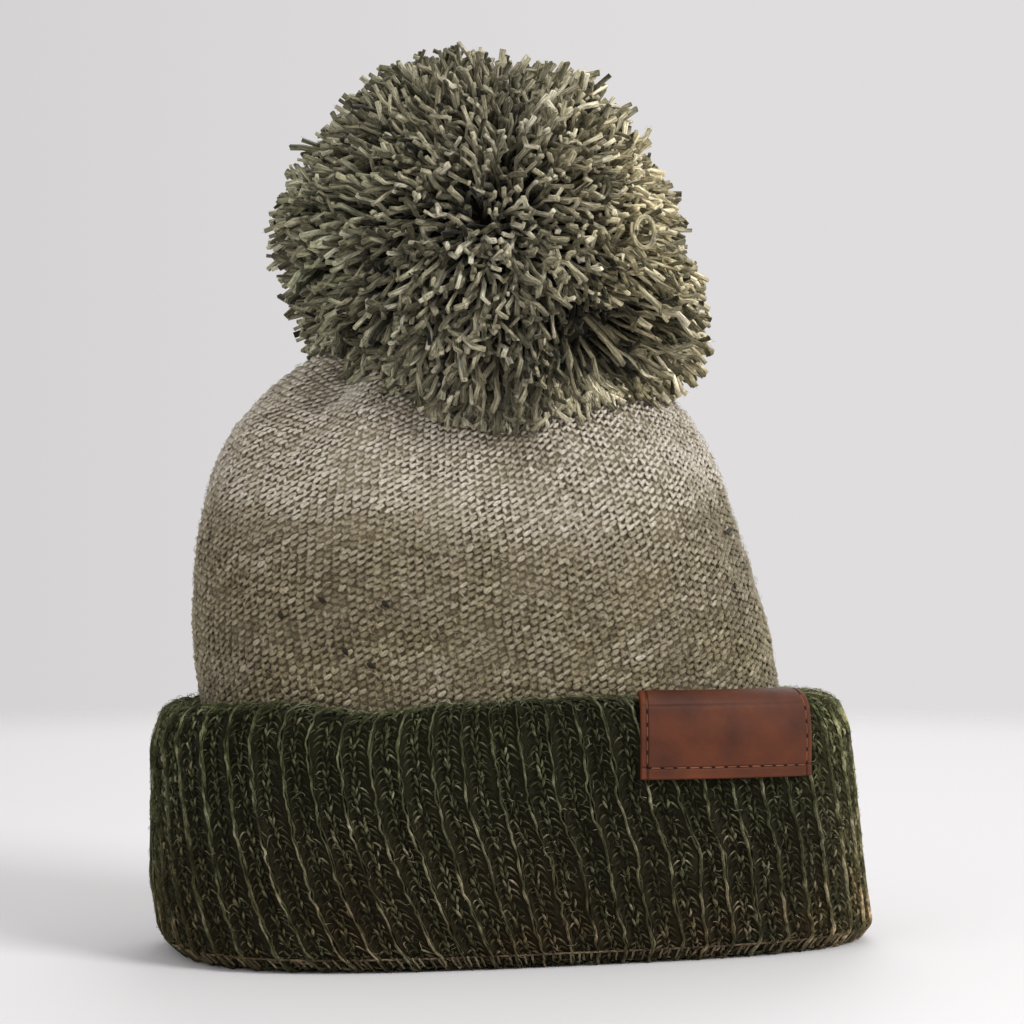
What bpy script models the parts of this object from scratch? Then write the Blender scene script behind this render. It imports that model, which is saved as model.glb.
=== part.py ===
"""A knitted hat with a turned-up rib cuff, a leather tab and a big yarn pompom.

It stands on its cuff. Lengths are metres, +Z is up and the front faces -Y. The origin
is on the table, at the middle of the hat's outline seen from above.
"""

import math
import random
from collections import namedtuple

import bmesh
import bpy
import numpy as np
from mathutils import Vector
from mathutils.bvhtree import BVHTree

# The knit, which is one thickness all over
KNIT_THICKNESS = 0.003
SEAM_GAP = 0.0003
SEAM_DEPTH = 0.006

# The cuff: a rib band that runs down inside, folds at the table and turns up outside
CUFF_WIDTH = 0.225
CUFF_DEPTH = 0.120
CUFF_HEIGHT = 0.077
CUFF_SQUARENESS = 3.0
CUFF_TWIST = 10.0
CUFF_WAVE = 0.0018
FOLD_WIDTH = 0.011
FOLD_RISE = 0.004
FLAT_WIDTH = 0.005
EDGE_GAP = 0.0010

# The ribs: two columns of faces each
RIB_COUNT = 64
RIB_DEPTH = 0.0013

# The crown: a closed dome that starts inside the cuff
SIDE_ROOM = 0.0215
FRONT_ROOM = 0.0095
RIM_TUCK = 0.0155
CROWN_WIDTH = CUFF_WIDTH - 2 * SIDE_ROOM
CROWN_DEPTH = CUFF_DEPTH - 2 * FRONT_ROOM
CROWN_RIM_HEIGHT = CUFF_HEIGHT - RIM_TUCK
CROWN_HEIGHT = 0.132
CROWN_SQUARENESS = 2.4
CROWN_NOD = 0.006
CROWN_COLUMNS = 44
GATHER_COUNT = 11
GATHER_DEPTH = 0.0016
GATHER_START = 0.45
GATHER_FULL = 0.80
GATHER_FADE = 0.12

# The pompom: locks of yarn round a head that is tied down over the crown's top
POMPOM_WIDTH = 0.144
POMPOM_DEPTH = 0.126
POMPOM_RISE = 0.022
POMPOM_RIGHT_OF_TOP = 0.006
POMPOM_BEHIND_TOP = 0.003
POMPOM_DROOP = 0.22
POMPOM_GAP = 0.0006
POMPOM_SINK = 0.004
HEAD_SHARE = 0.74
LOCK_TIP_SHARE = 0.5
SHORTEST_LOCK_SHARE = 0.92
LEAST_CORNER_PULL = 0.3
CORNER_SCATTER = 0.04
LOCK_SEED = 11

# The leather tab, folded over the cuff's upper edge
TAB_WIDTH = 0.0553
TAB_DROP = 0.0226
TAB_THICKNESS = 0.0016
TAB_FROM_SIDE = 0.0813
TAB_GAP = 0.0005
TAB_OVERLAP = 0.4
TAB_COLUMNS = 10

# Reaches to the left and right of the origin, as shares of half the width, the depth as
# a share of half the depth, and the share of the cuff's twist, at a height that is a
# share of the full height
Section = namedtuple("Section", "height left right depth twist", defaults=(0,))
CUFF_SECTIONS = (
    Section(height=0.00, left=0.950, right=0.990, depth=0.980, twist=1.00),
    Section(height=0.07, left=0.975, right=1.000, depth=1.000, twist=0.97),
    Section(height=0.28, left=1.000, right=0.975, depth=0.985, twist=0.80),
    Section(height=0.86, left=1.000, right=0.925, depth=0.955, twist=0.10),
    Section(height=1.00, left=0.990, right=0.918, depth=0.950, twist=0.00),
)
CROWN_SECTIONS = (
    Section(height=0.00, left=1.050, right=0.935, depth=0.965),
    Section(height=0.16, left=1.083, right=0.905, depth=0.990),
    Section(height=0.34, left=1.096, right=0.850, depth=1.000),
    Section(height=0.52, left=1.074, right=0.768, depth=0.930),
    Section(height=0.70, left=1.000, right=0.670, depth=0.790),
    Section(height=0.83, left=0.850, right=0.535, depth=0.630),
    Section(height=0.925, left=0.660, right=0.375, depth=0.450),
    Section(height=0.98, left=0.420, right=0.150, depth=0.260),
    Section(height=1.00, left=0.155, right=-0.115, depth=0.035),
)
CROWN_STEPS = 10

# The cuff's rolled upper edge: the way from the outer face to the crown, and what is
# left of the ribs' depth, as shares
Roll = namedtuple("Roll", "height reach ribs")
CUFF_ROLL = (
    Roll(height=0.965, reach=0.14, ribs=1.0),
    Roll(height=1.000, reach=0.42, ribs=0.7),
    Roll(height=0.985, reach=1.00, ribs=0.3),
)

# Dents, or bulges where the depth is negative. The bearing is in degrees to the right
# of the front, the rise is a share of the crown's height, and the depth of its width
Dent = namedtuple("Dent", "bearing spread height rise depth")
CROWN_DENTS = (
    Dent(bearing=-4, spread=13, height=0.74, rise=0.17, depth=0.028),
    Dent(bearing=-40, spread=9, height=0.86, rise=0.13, depth=0.022),
    Dent(bearing=-64, spread=16, height=0.60, rise=0.18, depth=-0.012),
    Dent(bearing=30, spread=17, height=0.60, rise=0.16, depth=-0.022),
    Dent(bearing=66, spread=12, height=0.52, rise=0.22, depth=0.014),
    Dent(bearing=170, spread=24, height=0.66, rise=0.20, depth=0.022),
    Dent(bearing=125, spread=14, height=0.80, rise=0.14, depth=0.016),
)

# The pompom's outline from the front: the reach at an angle above the right-hand side,
# as a share of half its width
Reach = namedtuple("Reach", "angle share")
POMPOM_OUTLINE = (
    Reach(angle=0, share=0.86),
    Reach(angle=30, share=0.83),
    Reach(angle=60, share=0.90),
    Reach(angle=85, share=0.82),
    Reach(angle=105, share=0.93),
    Reach(angle=135, share=0.94),
    Reach(angle=180, share=0.99),
    Reach(angle=210, share=0.95),
    Reach(angle=240, share=0.84),
    Reach(angle=270, share=0.89),
    Reach(angle=300, share=0.93),
    Reach(angle=330, share=1.05),
)
DEPTHWISE_SHARE = 0.95

# An oval section at one height: lengths in metres, and its turn in degrees to the right
Oval = namedtuple("Oval", "left right depth forward squareness turn z")
Row = namedtuple("Row", "oval ribs outside")


def smooth_between(values, place):
    """Value on the smooth curve through evenly spaced values, at a place counted in steps."""
    last = len(values) - 1
    first = min(int(place), last - 1)
    before, here, there, after = (
        values[max(0, min(last, first + step))] for step in (-1, 0, 1, 2)
    )
    rise = place - first
    slope_here = (there - before) / 2
    slope_there = (after - here) / 2
    return (
        here * (1 + 2 * rise) * (1 - rise) ** 2
        + slope_here * rise * (1 - rise) ** 2
        + there * rise**2 * (3 - 2 * rise)
        - slope_there * rise**2 * (1 - rise)
    )


def section_at(sections, place):
    """The section at a place counted in table rows."""
    return Section(*(smooth_between(column, place) for column in zip(*sections)))


def section_at_height(sections, height):
    """The section at a height share, straight between table rows."""
    heights = [section.height for section in sections]
    return Section(height, *(np.interp(height, heights, column) for column in list(zip(*sections))[1:]))


def signed_power(value, power):
    return math.copysign(abs(value) ** power, value)


def outline_shares():
    """Angles round the cuff's oval, and the share of its outline that each reaches."""
    angles = np.linspace(0, 2 * math.pi, 2001)
    power = 2 / CUFF_SQUARENESS
    x = CUFF_WIDTH / 2 * np.sign(np.cos(angles)) * np.abs(np.cos(angles)) ** power
    y = CUFF_DEPTH / 2 * np.sign(np.sin(angles)) * np.abs(np.sin(angles)) ** power
    length = np.concatenate([[0], np.cumsum(np.hypot(np.diff(x), np.diff(y)))])
    return angles, length / length[-1]


OUTLINE_ANGLES, OUTLINE_SHARES = outline_shares()


def angle_at(share):
    """Angle of the oval at a share of its outline, counted from the right-hand side."""
    return np.interp(share % 1, OUTLINE_SHARES, OUTLINE_ANGLES)


def oval_point(oval, share):
    """Point on an oval. The share of the outline runs from the right over the back."""
    angle = angle_at(share)
    middle = (oval.right - oval.left) / 2
    reach = (oval.right + oval.left) / 2
    power = 2 / oval.squareness
    x = middle + reach * signed_power(math.cos(angle), power)
    y = oval.depth * signed_power(math.sin(angle), power) - oval.forward
    turn = math.radians(oval.turn)
    return np.array(
        (
            x * math.cos(turn) - y * math.sin(turn),
            x * math.sin(turn) + y * math.cos(turn),
            oval.z,
        )
    )


def inset(oval, margin, z):
    """The oval moved inwards all round, at another height."""
    return oval._replace(
        left=oval.left - margin, right=oval.right - margin, depth=oval.depth - margin, z=z
    )


def between(first, second, share, z):
    """The oval a share of the way from one to another, at a given height."""
    mixed = (a + (b - a) * share for a, b in zip(first[:-1], second[:-1]))
    return Oval(*mixed, z)


def cuff_oval(height):
    section = section_at_height(CUFF_SECTIONS, height)
    half_width, half_depth = CUFF_WIDTH / 2, CUFF_DEPTH / 2
    return Oval(
        left=section.left * half_width,
        right=section.right * half_width,
        depth=section.depth * half_depth,
        forward=0.0,
        squareness=CUFF_SQUARENESS,
        turn=section.twist * CUFF_TWIST,
        z=height * CUFF_HEIGHT,
    )


def crown_oval(place):
    """The crown's outer face at a place counted in table rows."""
    section = section_at(CROWN_SECTIONS, place)
    half_width, half_depth = CROWN_WIDTH / 2, CROWN_DEPTH / 2
    return Oval(
        left=section.left * half_width,
        right=section.right * half_width,
        depth=section.depth * half_depth,
        forward=CROWN_NOD * section.height**2,
        squareness=CROWN_SQUARENESS,
        turn=0.0,
        z=CROWN_RIM_HEIGHT + section.height * CROWN_HEIGHT,
    )


def crown_oval_at_z(z):
    """The crown's outer face at a height, from the widest stretch of its sections."""
    places = np.linspace(0, len(CROWN_SECTIONS) - 1, 200)
    heights = [crown_oval(place).z for place in places]
    return crown_oval(float(np.interp(z, heights, places)))


def normals_of(grid):
    """Unit normals of a grid of points whose columns close into a ring."""
    along = np.roll(grid, -1, axis=1) - np.roll(grid, 1, axis=1)
    up = np.gradient(grid, axis=0)
    normals = np.cross(along, up)
    return normals / np.linalg.norm(normals, axis=2, keepdims=True)


def add_object(name, mesh, colour, roughness):
    """Link an object for the mesh, with its own material."""
    material = bpy.data.materials.new(name)
    material.use_nodes = True
    shader = material.node_tree.nodes["Principled BSDF"]
    shader.inputs["Base Color"].default_value = (*colour, 1.0)
    shader.inputs["Roughness"].default_value = roughness
    shader.inputs["Metallic"].default_value = 0.0
    mesh.materials.append(material)
    obj = bpy.data.objects.new(name, mesh)
    bpy.context.scene.collection.objects.link(obj)
    return obj


def grid_mesh(name, grid, closed):
    """Mesh of a grid of points, whose columns may close into a ring."""
    rows, columns = grid.shape[:2]
    steps = columns if closed else columns - 1
    faces = []
    for row in range(rows - 1):
        for column in range(steps):
            beside = (column + 1) % columns
            faces.append(
                (
                    row * columns + column,
                    row * columns + beside,
                    (row + 1) * columns + beside,
                    (row + 1) * columns + column,
                )
            )
    mesh = bpy.data.meshes.new(name)
    mesh.from_pydata(grid.reshape(-1, 3).tolist(), [], faces)
    return mesh


def thicken(obj, thickness, side):
    """Give a sheet its thickness, to the side its faces point to (1) or away (-1)."""
    solidify = obj.modifiers.new("thickness", "SOLIDIFY")
    solidify.thickness = thickness
    solidify.offset = side
    solidify.use_rim = True


def cuff_rows():
    """Rows along the cuff's right side: down the head's side, round the fold and up.

    A row is an oval, how deep its ribs are as a share, and whether it is on the outside.
    """
    foot = cuff_oval(0.0)
    rim = crown_oval(0)
    head_side = inset(rim, KNIT_THICKNESS, CROWN_RIM_HEIGHT - SEAM_GAP)
    outer_heights = [section.height for section in CUFF_SECTIONS[1:-1]]
    top = cuff_oval(1.0)
    crown_face = inset(crown_oval_at_z(CUFF_HEIGHT), -EDGE_GAP, CUFF_HEIGHT)
    return [
        Row(head_side, ribs=0.0, outside=False),
        Row(head_side._replace(z=head_side.z - SEAM_DEPTH), ribs=0.0, outside=False),
        Row(inset(foot, FOLD_WIDTH, FOLD_RISE), ribs=1.0, outside=False),
        Row(inset(foot, (FOLD_WIDTH + FLAT_WIDTH) / 2, 0.0), ribs=0.0, outside=False),
        Row(inset(foot, (FOLD_WIDTH - FLAT_WIDTH) / 2, 0.0), ribs=0.0, outside=False),
        *(Row(cuff_oval(height), ribs=1.0, outside=True) for height in outer_heights),
        *(
            Row(
                between(top, crown_face, roll.reach, roll.height * CUFF_HEIGHT),
                ribs=roll.ribs,
                outside=True,
            )
            for roll in CUFF_ROLL
        ),
    ]


def cuff_grid(columns):
    """Points of the cuff's right side at the ribs' crests, a line for each row."""
    rows = cuff_rows()
    shares = [column / columns for column in range(columns)]
    grid = np.array([[oval_point(row.oval, share) for share in shares] for row in rows])
    outer = [row.outside for row in rows]
    bearings = np.arctan2(grid[outer, :, 0], -grid[outer, :, 1])
    grid[outer, :, 2] += CUFF_WAVE * np.sin(2 * bearings) * grid[outer, :, 2] / CUFF_HEIGHT
    return grid


def make_cuff():
    grid = cuff_grid(2 * RIB_COUNT)
    depth = RIB_DEPTH * np.array([row.ribs for row in cuff_rows()])
    normals = normals_of(grid)
    grid[:, 1::2] -= normals[:, 1::2] * depth[:, None, None]
    mesh = grid_mesh("cuff", grid, closed=True)
    cuff = add_object("cuff", mesh, colour=(0.055, 0.062, 0.038), roughness=0.9)
    thicken(cuff, KNIT_THICKNESS, side=-1)
    return cuff


def bearing_of(share):
    """Degrees to the right of the front, from -180 to 180."""
    degrees = math.degrees(angle_at(share)) + 90
    return (degrees + 180) % 360 - 180


def dent_at(bearing, height):
    """Depth of the crown's dents at a bearing and a height share."""
    total = 0.0
    for dent in CROWN_DENTS:
        turn = (bearing - dent.bearing + 180) % 360 - 180
        across = math.exp(-((turn / dent.spread) ** 2))
        along = math.exp(-(((height - dent.height) / dent.rise) ** 2))
        total += dent.depth * CROWN_WIDTH * across * along
    return total


def gather_at(share, height):
    """Depth of the gathers, which start above mid height and die out at the tie."""
    start = min(1.0, max(0.0, (height - GATHER_START) / (GATHER_FULL - GATHER_START)))
    end = min(1.0, max(0.0, (1.0 - height) / GATHER_FADE))
    wave = (1 - math.cos(2 * math.pi * GATHER_COUNT * share)) / 2
    return GATHER_DEPTH * start * end * wave


def crown_ovals():
    """Ovals up the crown's outer face: a short straight hem, and then the dome."""
    rim = crown_oval(0)
    last_place = len(CROWN_SECTIONS) - 1
    dome = [crown_oval(last_place * step / CROWN_STEPS) for step in range(1, CROWN_STEPS + 1)]
    return [rim, rim._replace(z=rim.z + SEAM_DEPTH), *dome]


def crown_grid():
    """Points of the crown's outer face, with its dents and gathers pushed in."""
    ovals = crown_ovals()
    shares = [column / CROWN_COLUMNS for column in range(CROWN_COLUMNS)]
    grid = np.array([[oval_point(oval, share) for share in shares] for oval in ovals])
    normals = normals_of(grid)
    for row, oval in enumerate(ovals[:-1]):
        height = (oval.z - CROWN_RIM_HEIGHT) / CROWN_HEIGHT
        for column, share in enumerate(shares):
            depth = dent_at(bearing_of(share), height) + gather_at(share, height)
            grid[row, column] -= normals[row, column] * depth
    return grid


def make_crown():
    grid = crown_grid()
    mesh = grid_mesh("crown", grid, closed=True)
    close_rings(mesh, grid[-1].mean(axis=0))
    crown = add_object("crown", mesh, colour=(0.36, 0.32, 0.26), roughness=0.92)
    thicken(crown, KNIT_THICKNESS, side=-1)


def close_rings(mesh, top, bottom=False):
    """Fill the last ring of points with a fan about the top point, and the first flat."""
    bm = bmesh.new()
    bm.from_mesh(mesh)
    verts = list(bm.verts)
    last = verts[-CROWN_COLUMNS:]
    middle = bm.verts.new(Vector(top))
    for column in range(CROWN_COLUMNS):
        bm.faces.new((last[column], last[(column + 1) % CROWN_COLUMNS], middle))
    if bottom:
        bm.faces.new(reversed(verts[:CROWN_COLUMNS]))
    bm.to_mesh(mesh)
    bm.free()


def pompom_centre():
    apex = crown_oval(len(CROWN_SECTIONS) - 1)
    return Vector(
        (
            (apex.right - apex.left) / 2 + POMPOM_RIGHT_OF_TOP,
            -apex.forward + POMPOM_BEHIND_TOP,
            apex.z + POMPOM_RISE,
        )
    )


def pompom_reach(direction):
    """Distance from the centre to the outer form of the pompom, in a direction."""
    across = math.hypot(direction.x, direction.z)
    angle = math.degrees(math.atan2(direction.z, direction.x)) % 360
    angles = [reach.angle for reach in POMPOM_OUTLINE] + [360]
    outline = [reach.share for reach in POMPOM_OUTLINE] + [POMPOM_OUTLINE[0].share]
    share = float(np.interp(angle, angles, outline))
    share = DEPTHWISE_SHARE + (share - DEPTHWISE_SHARE) * across**2
    share += POMPOM_DROOP * max(0.0, -direction.y) * max(0.0, -direction.z)
    half_width, half_depth = POMPOM_WIDTH / 2, POMPOM_DEPTH / 2
    flatten = math.hypot(across / half_width, direction.y / half_depth)
    return share / flatten


def crown_mould():
    """Guide with the crown's outer form plus the gap, which the pompom is hollowed over."""
    grid = crown_grid()
    grid += normals_of(grid) * POMPOM_GAP
    mesh = grid_mesh("crown_mould", grid, closed=True)
    close_rings(mesh, grid[-1].mean(axis=0), bottom=True)
    mould = bpy.data.objects.new("crown_mould", mesh)
    bpy.context.scene.collection.objects.link(mould)
    mould.hide_render = True
    mould.display_type = "WIRE"
    return mould


def make_pompom():
    """Locks drawn out of the faces of a round head, each inside its own cone."""
    mould = crown_mould()
    tree = BVHTree.FromObject(mould, bpy.context.evaluated_depsgraph_get())
    centre = pompom_centre()
    chance = random.Random(LOCK_SEED)

    def placed(direction, way, length=1):
        """A point a share of the way out, which stops soon after it enters the crown."""
        direction = direction.normalized()
        reach = pompom_reach(direction) * length
        hit, _, _, distance = tree.ray_cast(centre, direction)
        if hit is not None:
            reach = min(reach, distance + POMPOM_SINK)
        return centre + direction * reach * way

    bm = bmesh.new()
    bmesh.ops.create_icosphere(bm, subdivisions=3, radius=1.0)
    bases = list(bm.faces)
    corners = {}
    for vertex in bm.verts:
        scatter = Vector(chance.uniform(-1, 1) for _ in range(3)) * CORNER_SCATTER
        corners[vertex] = (vertex.co + scatter).normalized()
    for face in bases:
        rays = [corners[vertex] for vertex in face.verts]
        weights = [chance.uniform(LEAST_CORNER_PULL, 1) for _ in rays]
        axis = sum((ray * weight for ray, weight in zip(rays, weights)), Vector()) / sum(weights)
        length = chance.uniform(SHORTEST_LOCK_SHARE, 1)
        foot = list(face.verts)
        tip_rays = [axis + (ray - axis) * LOCK_TIP_SHARE for ray in rays]
        tip = [bm.verts.new(placed(ray, 1, length)) for ray in tip_rays]
        for side in range(len(rays)):
            beside = (side + 1) % len(rays)
            bm.faces.new((foot[side], foot[beside], tip[beside], tip[side]))
        bm.faces.new(tip)
    bmesh.ops.delete(bm, geom=bases, context="FACES_ONLY")
    for vertex, ray in corners.items():
        vertex.co = placed(ray, HEAD_SHARE)
    mesh = bpy.data.meshes.new("pompom")
    bm.to_mesh(mesh)
    bm.free()
    pompom = add_object("pompom", mesh, colour=(0.30, 0.30, 0.23), roughness=0.95)
    seat = pompom.modifiers.new("seat", "BOOLEAN")
    seat.operation = "DIFFERENCE"
    seat.solver = "EXACT"
    seat.object = mould


def make_tab():
    """Leather over the crests of the ribs, from below the edge up and over the roll."""
    grid = cuff_grid(2 * RIB_COUNT)
    grid += normals_of(grid) * TAB_GAP
    rows = cuff_rows()
    heights = [row.oval.z for row in rows]
    bottom = CUFF_HEIGHT - TAB_DROP
    first = next(i for i, row in enumerate(rows) if row.outside and heights[i] > bottom)
    start = first - 1 + (bottom - heights[first - 1]) / (heights[first] - heights[first - 1])
    places = [start, *range(first, len(rows) - 1), len(rows) - 2 + TAB_OVERLAP]
    points = np.array([tab_row(grid, place) for place in places])
    mesh = grid_mesh("tab", points, closed=False)
    tab = add_object("tab", mesh, colour=(0.19, 0.075, 0.045), roughness=0.55)
    thicken(tab, TAB_THICKNESS, side=1)


def tab_row(grid, place):
    """Evenly spaced points along the front, at a place counted in rows, from the left edge."""
    lower = min(int(place), len(grid) - 2)
    front = slice(grid.shape[1] // 2, grid.shape[1])
    line = grid[lower, front] + (grid[lower + 1, front] - grid[lower, front]) * (place - lower)
    steps = np.linalg.norm(np.diff(line, axis=0), axis=1)
    length = np.concatenate([[0], np.cumsum(steps)])
    start = np.interp(CUFF_WIDTH / 2 - TAB_FROM_SIDE, line[:, 0], length)
    wanted = start + np.linspace(0, TAB_WIDTH, TAB_COLUMNS + 1)
    return np.stack([np.interp(wanted, length, line[:, axis]) for axis in range(3)], axis=1)


def main():
    for obj in list(bpy.data.objects):
        bpy.data.objects.remove(obj)
    make_cuff()
    make_crown()
    make_pompom()
    make_tab()


main()
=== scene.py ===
"""Looks of the pompom hat: knitted crown, rib cuff, yarn pompom and leather tab.

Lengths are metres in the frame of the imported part: +Z is up and the front faces -Y.
Each soft piece is built on a guide, a smooth grid of points over the outer face of its
solid, along which single stitches, strands and fibres are laid.
"""

import math
from collections import namedtuple

import bpy
import numpy as np
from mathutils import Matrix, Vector
from mathutils.bvhtree import BVHTree


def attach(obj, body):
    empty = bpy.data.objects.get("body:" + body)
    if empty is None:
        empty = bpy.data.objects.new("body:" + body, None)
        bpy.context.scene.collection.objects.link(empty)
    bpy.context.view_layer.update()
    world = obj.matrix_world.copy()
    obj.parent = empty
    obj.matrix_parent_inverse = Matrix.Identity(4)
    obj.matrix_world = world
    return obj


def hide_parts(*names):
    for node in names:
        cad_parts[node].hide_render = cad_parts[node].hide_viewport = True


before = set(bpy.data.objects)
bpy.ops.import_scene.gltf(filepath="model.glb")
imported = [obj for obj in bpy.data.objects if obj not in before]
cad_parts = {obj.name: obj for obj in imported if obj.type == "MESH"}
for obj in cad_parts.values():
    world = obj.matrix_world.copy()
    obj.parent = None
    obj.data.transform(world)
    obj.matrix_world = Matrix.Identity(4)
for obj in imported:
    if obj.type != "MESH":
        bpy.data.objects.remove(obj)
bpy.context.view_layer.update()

# The knit, which is one thickness all over
KNIT_THICKNESS = 0.003

# The cuff: a rib band that runs down inside, folds at the table and turns up outside
CUFF_WIDTH = 0.225
CUFF_DEPTH = 0.120
CUFF_HEIGHT = 0.077
CUFF_SQUARENESS = 3.0
CUFF_TWIST = 10.0
CUFF_WAVE = 0.0037
FOLD_WIDTH = 0.011
FOLD_RISE = 0.004
FLAT_WIDTH = 0.005
EDGE_GAP = 0.0010
SEAM_GAP = 0.0003
SEAM_DEPTH = 0.006
RIB_COUNT = 64

# The crown: a closed dome that starts inside the cuff
SIDE_ROOM = 0.0215
FRONT_ROOM = 0.0095
RIM_TUCK = 0.0155
CROWN_WIDTH = CUFF_WIDTH - 2 * SIDE_ROOM
CROWN_DEPTH = CUFF_DEPTH - 2 * FRONT_ROOM
CROWN_RIM_HEIGHT = CUFF_HEIGHT - RIM_TUCK
CROWN_HEIGHT = 0.132
CROWN_SQUARENESS = 2.4
CROWN_NOD = 0.006
GATHER_COUNT = 11
GATHER_DEPTH = 0.0016
GATHER_START = 0.45
GATHER_FULL = 0.80
GATHER_FADE = 0.12

# The pompom
POMPOM_WIDTH = 0.144
POMPOM_DEPTH = 0.126
POMPOM_RISE = 0.022
POMPOM_RIGHT_OF_TOP = 0.006
POMPOM_BEHIND_TOP = 0.003
POMPOM_DROOP = 0.22
DEPTHWISE_SHARE = 0.95

# The leather tab, folded over the cuff's upper edge
TAB_WIDTH = 0.0553
TAB_DROP = 0.0226
TAB_THICKNESS = 0.0016
TAB_FROM_SIDE = 0.0813
TAB_GAP = 0.0005
TAB_OVERLAP = 0.4
TAB_PRESS = 0.0004
TAB_PRESS_MARGIN = 0.001

# Reaches to the left and right of the origin, as shares of half the width, the depth as
# a share of half the depth, and the share of the cuff's twist, at a height that is a
# share of the full height
Section = namedtuple("Section", "height left right depth twist", defaults=(0,))
CUFF_SECTIONS = (
    Section(height=0.00, left=0.950, right=0.990, depth=0.980, twist=1.00),
    Section(height=0.07, left=0.975, right=1.000, depth=1.000, twist=0.97),
    Section(height=0.28, left=1.000, right=0.975, depth=0.985, twist=0.80),
    Section(height=0.86, left=1.000, right=0.925, depth=0.955, twist=0.10),
    Section(height=1.00, left=0.990, right=0.918, depth=0.950, twist=0.00),
)
CROWN_SECTIONS = (
    Section(height=0.00, left=1.050, right=0.935, depth=0.965),
    Section(height=0.16, left=1.083, right=0.905, depth=0.990),
    Section(height=0.34, left=1.096, right=0.850, depth=1.000),
    Section(height=0.52, left=1.074, right=0.768, depth=0.930),
    Section(height=0.70, left=1.000, right=0.670, depth=0.790),
    Section(height=0.83, left=0.850, right=0.535, depth=0.630),
    Section(height=0.925, left=0.660, right=0.375, depth=0.450),
    Section(height=0.98, left=0.420, right=0.150, depth=0.260),
    Section(height=1.00, left=0.155, right=-0.115, depth=0.035),
)

# The cuff's rolled upper edge: the way from the outer face to the crown, as a share
Roll = namedtuple("Roll", "height reach")
CUFF_ROLL = (
    Roll(height=0.965, reach=0.14),
    Roll(height=1.000, reach=0.42),
    Roll(height=0.985, reach=1.00),
)

# The lift of the cuff's upper edge round the hat, as a share of the cuff's wave. The
# bearing is in degrees to the right of the front
Lift = namedtuple("Lift", "bearing share")
CUFF_LIFTS = (
    Lift(bearing=-180, share=0.00),
    Lift(bearing=-135, share=0.20),
    Lift(bearing=-90, share=-0.70),
    Lift(bearing=-57, share=0.20),
    Lift(bearing=-43, share=-0.65),
    Lift(bearing=-25, share=0.15),
    Lift(bearing=-4, share=0.40),
    Lift(bearing=15, share=0.70),
    Lift(bearing=33, share=0.45),
    Lift(bearing=55, share=0.45),
    Lift(bearing=74, share=0.30),
    Lift(bearing=90, share=0.20),
    Lift(bearing=135, share=0.00),
    Lift(bearing=180, share=0.00),
)

# Dents, or bulges where the depth is negative. The bearing is in degrees to the right
# of the front, the rise is a share of the crown's height, and the depth of its width
Dent = namedtuple("Dent", "bearing spread height rise depth")
CROWN_DENTS = (
    Dent(bearing=-4, spread=13, height=0.74, rise=0.17, depth=0.028),
    Dent(bearing=-40, spread=9, height=0.86, rise=0.13, depth=0.022),
    Dent(bearing=-64, spread=16, height=0.60, rise=0.18, depth=-0.012),
    Dent(bearing=30, spread=17, height=0.60, rise=0.16, depth=-0.022),
    Dent(bearing=66, spread=12, height=0.52, rise=0.22, depth=0.014),
    Dent(bearing=170, spread=24, height=0.66, rise=0.20, depth=0.022),
    Dent(bearing=125, spread=14, height=0.80, rise=0.14, depth=0.016),
)

# The pompom's outline from the front: the reach at an angle above the right-hand side,
# as a share of half its width
Reach = namedtuple("Reach", "angle share")
POMPOM_OUTLINE = (
    Reach(angle=0, share=0.86),
    Reach(angle=30, share=0.83),
    Reach(angle=60, share=0.90),
    Reach(angle=85, share=0.82),
    Reach(angle=105, share=0.93),
    Reach(angle=135, share=0.94),
    Reach(angle=180, share=0.99),
    Reach(angle=210, share=0.95),
    Reach(angle=240, share=0.84),
    Reach(angle=270, share=0.89),
    Reach(angle=300, share=0.93),
    Reach(angle=330, share=1.05),
)

# An oval section at one height: lengths in metres, and its turn in degrees to the right
Oval = namedtuple("Oval", "left right depth forward squareness turn z")

# Guides: the spacing of their rows, and their columns round the hat
GUIDE_STEP = 0.0005
GUIDE_COLUMNS = 1024


def section_between(sections, place):
    """The section on the smooth curve through the table, at a place counted in its rows."""
    table = np.array(sections, float)
    last = len(table) - 1
    first = min(int(place), last - 1)
    before, here, there, after = (table[max(0, min(last, first + step))] for step in (-1, 0, 1, 2))
    rise = place - first
    return Section(
        *(
            here * (1 + 2 * rise) * (1 - rise) ** 2
            + (there - before) / 2 * rise * (1 - rise) ** 2
            + there * rise**2 * (3 - 2 * rise)
            - (after - here) / 2 * rise**2 * (1 - rise)
        )
    )


def outline_shares():
    """Angles round the cuff's oval, and the share of its outline that each reaches."""
    angles = np.linspace(0, 2 * math.pi, 2001)
    power = 2 / CUFF_SQUARENESS
    x = CUFF_WIDTH / 2 * np.sign(np.cos(angles)) * np.abs(np.cos(angles)) ** power
    y = CUFF_DEPTH / 2 * np.sign(np.sin(angles)) * np.abs(np.sin(angles)) ** power
    length = np.concatenate([[0], np.cumsum(np.hypot(np.diff(x), np.diff(y)))])
    return angles, length / length[-1]


OUTLINE_ANGLES, OUTLINE_SHARES = outline_shares()


def bearings_of(shares):
    """Degrees to the right of the front, from -180 to 180."""
    degrees = np.degrees(np.interp(shares % 1, OUTLINE_SHARES, OUTLINE_ANGLES)) + 90
    return (degrees + 180) % 360 - 180


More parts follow.
